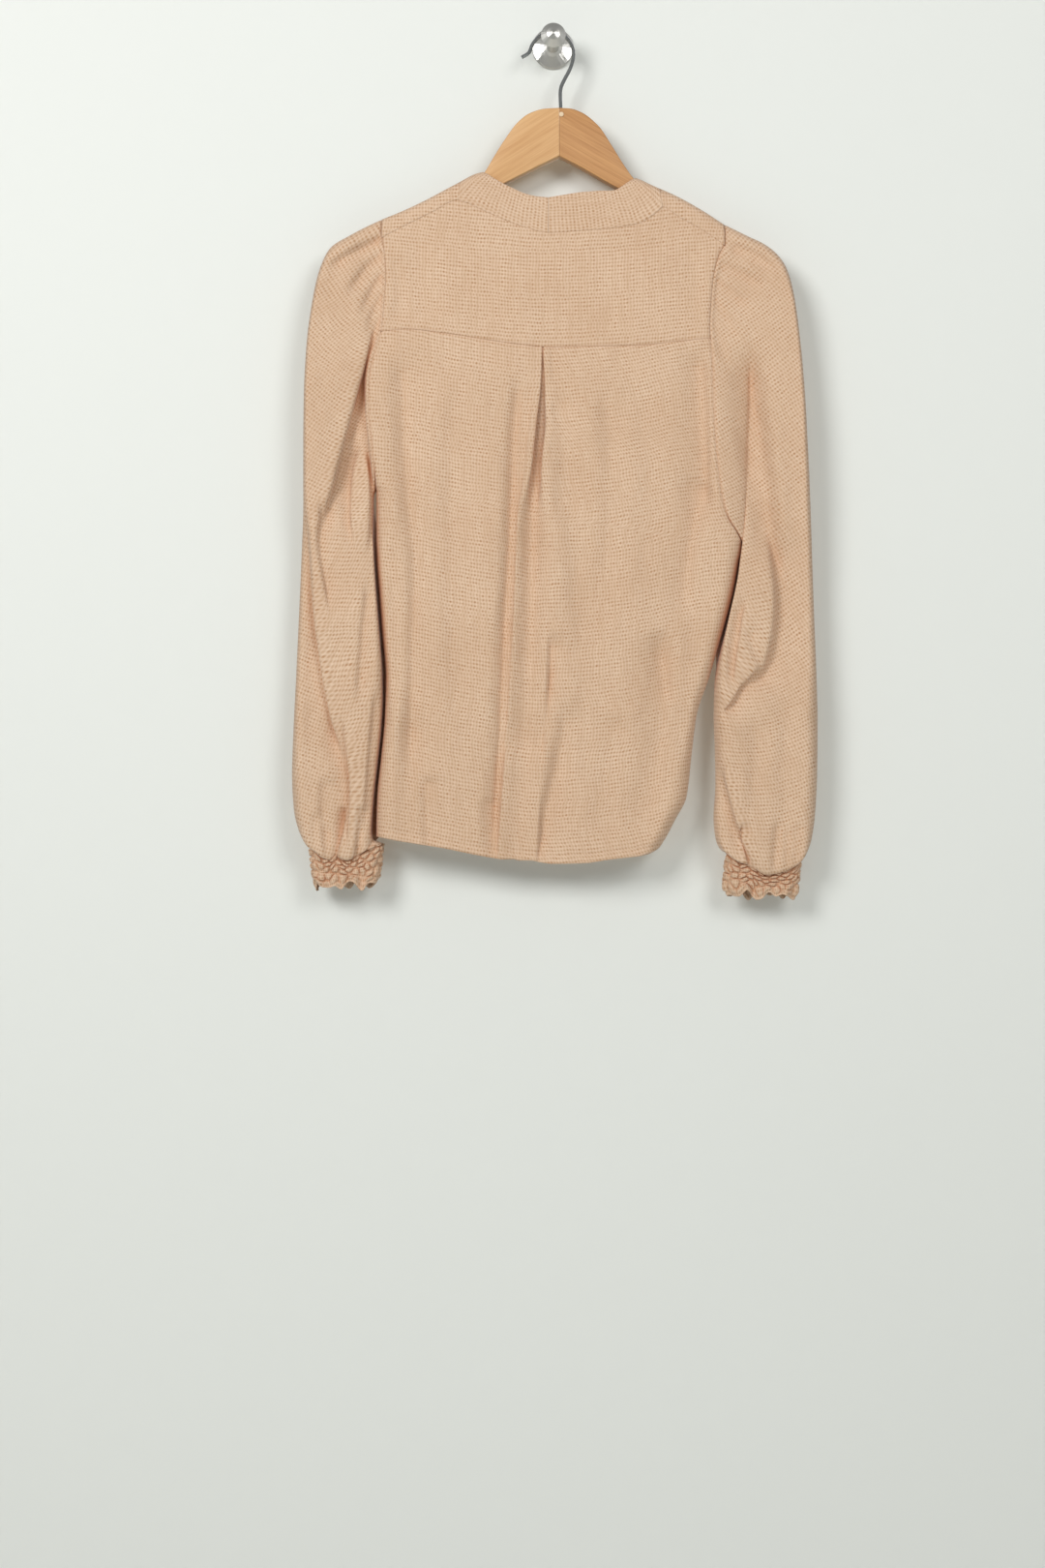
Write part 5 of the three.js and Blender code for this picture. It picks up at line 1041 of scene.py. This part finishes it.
def drawn_steel(name, colour, rough, scale, turned=0.0):
    """Stainless steel: fine lines from drawing, or rings from the lathe that fan the reflections out"""
    material, tree, shader = new_material(name)
    place = add_node(tree, "ShaderNodeTexCoord").outputs["Object"]
    lines = noise(tree, stretched(tree, place, scale), 1.0, 3.0)
    dull = remap(tree, lines, 0.0, 1.0, rough - 0.06, rough + 0.1)
    tree.links.new(dull, shader.inputs["Roughness"])
    relief(tree, shader, lines, 0.1, 0.0002)
    shader.inputs["Base Color"].default_value = linear(colour)
    shader.inputs["Metallic"].default_value = 1.0
    if turned:
        shader.inputs["Anisotropic"].default_value = turned
        shader.inputs["Anisotropic Rotation"].default_value = 0.25
        around = add_node(tree, "ShaderNodeTangent", direction_type="RADIAL", axis="Y")
        tree.links.new(around.outputs[0], shader.inputs["Tangent"])
    return material


def plaster(name, one_sided):
    """Matt painted plaster; a one-sided wall is clear from behind"""
    material, tree, shader = new_material(name)
    shader.inputs["Roughness"].default_value = 0.9
    shader.inputs["Base Color"].default_value = linear("#E9EBE6")
    if one_sided:
        facing = add_node(tree, "ShaderNodeNewGeometry").outputs["Backfacing"]
        clear = add_node(tree, "ShaderNodeBsdfTransparent").outputs[0]
        both = add_node(tree, "ShaderNodeMixShader", [(0, facing), (1, shader.outputs[0]), (2, clear)])
        tree.links.new(both.outputs[0], tree.nodes["Material Output"].inputs[0])
    return material


def give(piece, material):
    """Puts the material in every slot the piece has, or adds a slot for it"""
    if piece.material_slots:
        for place in piece.material_slots:
            place.material = material
    else:
        piece.data.materials.append(material)


def cloth_material(sizes):
    """The one cloth of all nine pieces, made the first time it is asked for"""
    return bpy.data.materials.get("dotted_crepe_weave") or dotted_crepe(sizes)


class BLOUSE_PG_sizes(bpy.types.PropertyGroup):
    """Sizes and colours that the panel shows"""
    wall: bpy.props.FloatProperty(
        name="Cloth", description="Thickness of the cloth, in millimetres",
        default=0.7, min=0.3, max=2)
    row_pitch: bpy.props.FloatProperty(
        name="Row spacing", description="Distance between the dotted rows, in millimetres",
        default=3.65, min=1)
    dot_pitch: bpy.props.FloatProperty(
        name="Dot spacing", description="Distance between dots in a row, in millimetres",
        default=2.9, min=1)
    smocking: bpy.props.FloatProperty(
        name="Smocking", description="Height of the puffs on the cuffs, in millimetres",
        default=3.1, min=0)
    ground_colour: bpy.props.StringProperty(
        name="Ground", description="sRGB hex colour of the cloth between the rows",
        default="#D2B193")
    thread_colour: bpy.props.StringProperty(
        name="Threads", description="sRGB hex colour of the lighter lengthwise threads",
        default="#EDD3B9")
    dot_colour: bpy.props.StringProperty(
        name="Dots", description="sRGB hex colour of the dotted rows",
        default="#B58964")
    # painted shade: the colour painted deep in the folds, in place of the shade and reddish bounce light
    # there
    painted_fold_shade_colour: bpy.props.StringProperty(
        name="Creases", description="sRGB hex colour deep in the folds, where the cloth lights itself",
        default="#C4875E")
    # how far the painted fold shade reaches from nearby cloth
    painted_fold_shade_reach: bpy.props.FloatProperty(
        name="Crease reach", description="How near other cloth warms the colour, in millimetres",
        default=11, min=0)
    wood_light: bpy.props.StringProperty(
        name="Wood, light", description="sRGB hex colour of the pale grain",
        default="#E2B682")
    wood_dark: bpy.props.StringProperty(
        name="Wood, dark", description="sRGB hex colour of the dark grain",
        default="#C99660")


class BLOUSE_OT_stage(bpy.types.Operator):
    """Camera at the photograph's angle, pale floor and backdrop, soft lights"""
    bl_idname = "blouse.stage"
    bl_label = "Stage"

    def execute(self, context):
        eye = bpy.data.cameras.new("camera")
        eye.lens, eye.sensor_width = LENS, SENSOR
        camera = bpy.data.objects.new("camera", eye)
        camera.location = CAMERA_PLACE
        camera.rotation_euler = (math.pi / 2, 0, 0)
        context.collection.objects.link(camera)
        context.scene.camera = camera
        context.scene.view_settings.view_transform = "Standard"
        world = context.scene.world or bpy.data.worlds.new("studio")
        context.scene.world = world
        world.use_nodes = True
        sky = world.node_tree.nodes["Background"]
        sky.inputs[0].default_value = linear("#F4F6F5")
        sky.inputs[1].default_value = SKY_STRENGTH
        bpy.ops.object.select_all(action="DESELECT")
        bpy.ops.mesh.primitive_plane_add(size=STAGE_SIZE, location=FLOOR_PLACE)
        floor = context.object
        floor.name = "floor"
        floor.data.materials.append(plaster("painted_plaster_floor", False))
        bpy.ops.mesh.primitive_plane_add(
            size=STAGE_SIZE, location=WALL_PLACE, rotation=(math.pi / 2, 0, 0))
        wall = context.object
        wall.name = "backdrop"
        wall.data.materials.append(plaster("painted_plaster_wall", True))
        wall.visible_diffuse = wall.visible_glossy = False
        wall.visible_transmission = wall.visible_shadow = False
        for name, place, size, power in LAMPS:
            lamp = bpy.data.lights.new(name, "AREA")
            lamp.shape, lamp.size, lamp.energy = "DISK", size, power
            made = bpy.data.objects.new(name, lamp)
            made.location = place
            aim = Vector(LAMP_AIM) - Vector(place)
            made.rotation_euler = aim.to_track_quat("-Z", "Y").to_euler()
            context.collection.objects.link(made)
        return {"FINISHED"}


class BLOUSE_OT_body(bpy.types.Operator):
    """Yoke, back with its centre pleat, front with its V neck"""
    bl_idname = "blouse.body"
    bl_label = "Body panels"

    def execute(self, context):
        sizes = context.scene.blouse
        cloth = cloth_material(sizes)
        arms = ["hanger_arm_left", "hanger_arm_right"]
        give(cloth_sheet("yoke_panel", "back_yoke", *yoke_grid(), sizes.wall, flip=True,
                         flat=(0.345, 0.135), area=0.036, on=arms), cloth)
        give(cloth_sheet("back_panel", "back", *back_grid(), sizes.wall, flip=True,
                         flat=(0.40, 0.50), area=0.165, on=["yoke_panel"]), cloth)
        give(cloth_sheet("front_panel", "front", *front_grid(), sizes.wall,
                         flat=(0.35, 0.63), area=0.175, on=arms), cloth)
        return {"FINISHED"}


class BLOUSE_OT_neck_band(bpy.types.Operator):
    """Neck band in two halves, seamed at the centre back and mitred at the V"""
    bl_idname = "blouse.neck_band"
    bl_label = "Neck band"

    def execute(self, context):
        sizes = context.scene.blouse
        for side, right in (("left", False), ("right", True)):
            give(cloth_sheet(f"band_{side}", f"neck_band_{side}", *band_grid(right), sizes.wall,
                             flip=not right, flat=(0.035, 0.30), area=0.0085, on=["yoke_panel"]),
                 cloth_material(sizes))
        return {"FINISHED"}


class BLOUSE_OT_sleeves(bpy.types.Operator):
    """Long sleeves, pleated at the head and bloused over the cuffs"""
    bl_idname = "blouse.sleeves"
    bl_label = "Sleeves"

    def execute(self, context):
        sizes = context.scene.blouse
        for side, right in (("left", False), ("right", True)):
            give(cloth_sheet(f"sleeve_cloth_{side}", f"sleeve_{side}", *sleeve_grid(right), sizes.wall,
                             flip=not right, ring=True, flat=(0.28, 0.62), area=0.118,
                             on=["yoke_panel"]), cloth_material(sizes))
        return {"FINISHED"}


class BLOUSE_OT_cuffs(bpy.types.Operator):
    """Smocked cuffs with a frill at the wrist"""
    bl_idname = "blouse.cuffs"
    bl_label = "Cuffs"

    def execute(self, context):
        sizes = context.scene.blouse
        for side, right in (("left", False), ("right", True)):
            give(cloth_sheet(f"smocked_cuff_{side}", f"cuff_{side}", *cuff_grid(right, sizes.smocking),
                             CUFF_WALL, flip=not right, ring=True, held="gathered",
                             flat=(0.20, 0.045), on=[f"sleeve_cloth_{side}"]), cloth_material(sizes))
        return {"FINISHED"}


class BLOUSE_OT_hanger(bpy.types.Operator):
    """Wood and steel of the hanger and its wall hook"""
    bl_idname = "blouse.hanger"
    bl_label = "Hanger and wall hook"

    def execute(self, context):
        sizes = context.scene.blouse
        finish = {
            "hanger_arm_left": sawn_wood(
                "beech_left_arm", math.radians(32), sizes.wood_light, sizes.wood_dark),
            # the right arm takes the darker copy of the beech: painted shade
            "hanger_arm_right": sawn_wood("beech_right_arm_painted_shade", math.radians(-30), *RIGHT_ARM_PAINTED_SHADE_WOOD),
            "hanger_plug": sawn_wood("beech_plug", 0, *END_GRAIN),
            "hanger_hook": drawn_steel("drawn_steel_wire", "#A9ABAB", 0.2, (300, 300, 300)),
            "wall_hook": drawn_steel("turned_steel", "#E6E4DE", 0.3, (40, 900, 40), 0.92),
        }
        for side, table, sign in (("left", ARM_LEFT, -1), ("right", ARM_RIGHT, 1)):
            node = f"hanger_arm_{side}"
            give(wooden_arm(f"{node}_wood", node, table, sign), finish.pop(node))
        for piece in bpy.data.objects:
            if piece.get("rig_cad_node") in finish:
                give(piece, finish[piece["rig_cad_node"]])
        return {"FINISHED"}


class BLOUSE_PT_panel(bpy.types.Panel):
    """Sizes, colours and a button for each step, in the sidebar"""
    bl_idname = "BLOUSE_PT_panel"
    bl_label = "Blouse"
    bl_space_type = "VIEW_3D"
    bl_region_type = "UI"
    bl_category = "Blouse"

    def draw(self, context):
        for name in BLOUSE_PG_sizes.__annotations__:
            self.layout.prop(context.scene.blouse, name)
        for step in STEPS:
            self.layout.operator(step.bl_idname)


STEPS = (BLOUSE_OT_stage, BLOUSE_OT_body, BLOUSE_OT_neck_band, BLOUSE_OT_sleeves, BLOUSE_OT_cuffs,
         BLOUSE_OT_hanger)
CLASSES = (BLOUSE_PG_sizes, *STEPS, BLOUSE_PT_panel)


def register():
    for cls in CLASSES:
        bpy.utils.register_class(cls)
    bpy.types.Scene.blouse = bpy.props.PointerProperty(type=BLOUSE_PG_sizes)


def unregister():
    del bpy.types.Scene.blouse
    for cls in reversed(CLASSES):
        bpy.utils.unregister_class(cls)


def main():
    register()
    for step in STEPS:
        group, name = step.bl_idname.split(".")
        getattr(getattr(bpy.ops, group), name)()


if __name__ == "__main__":
    main()
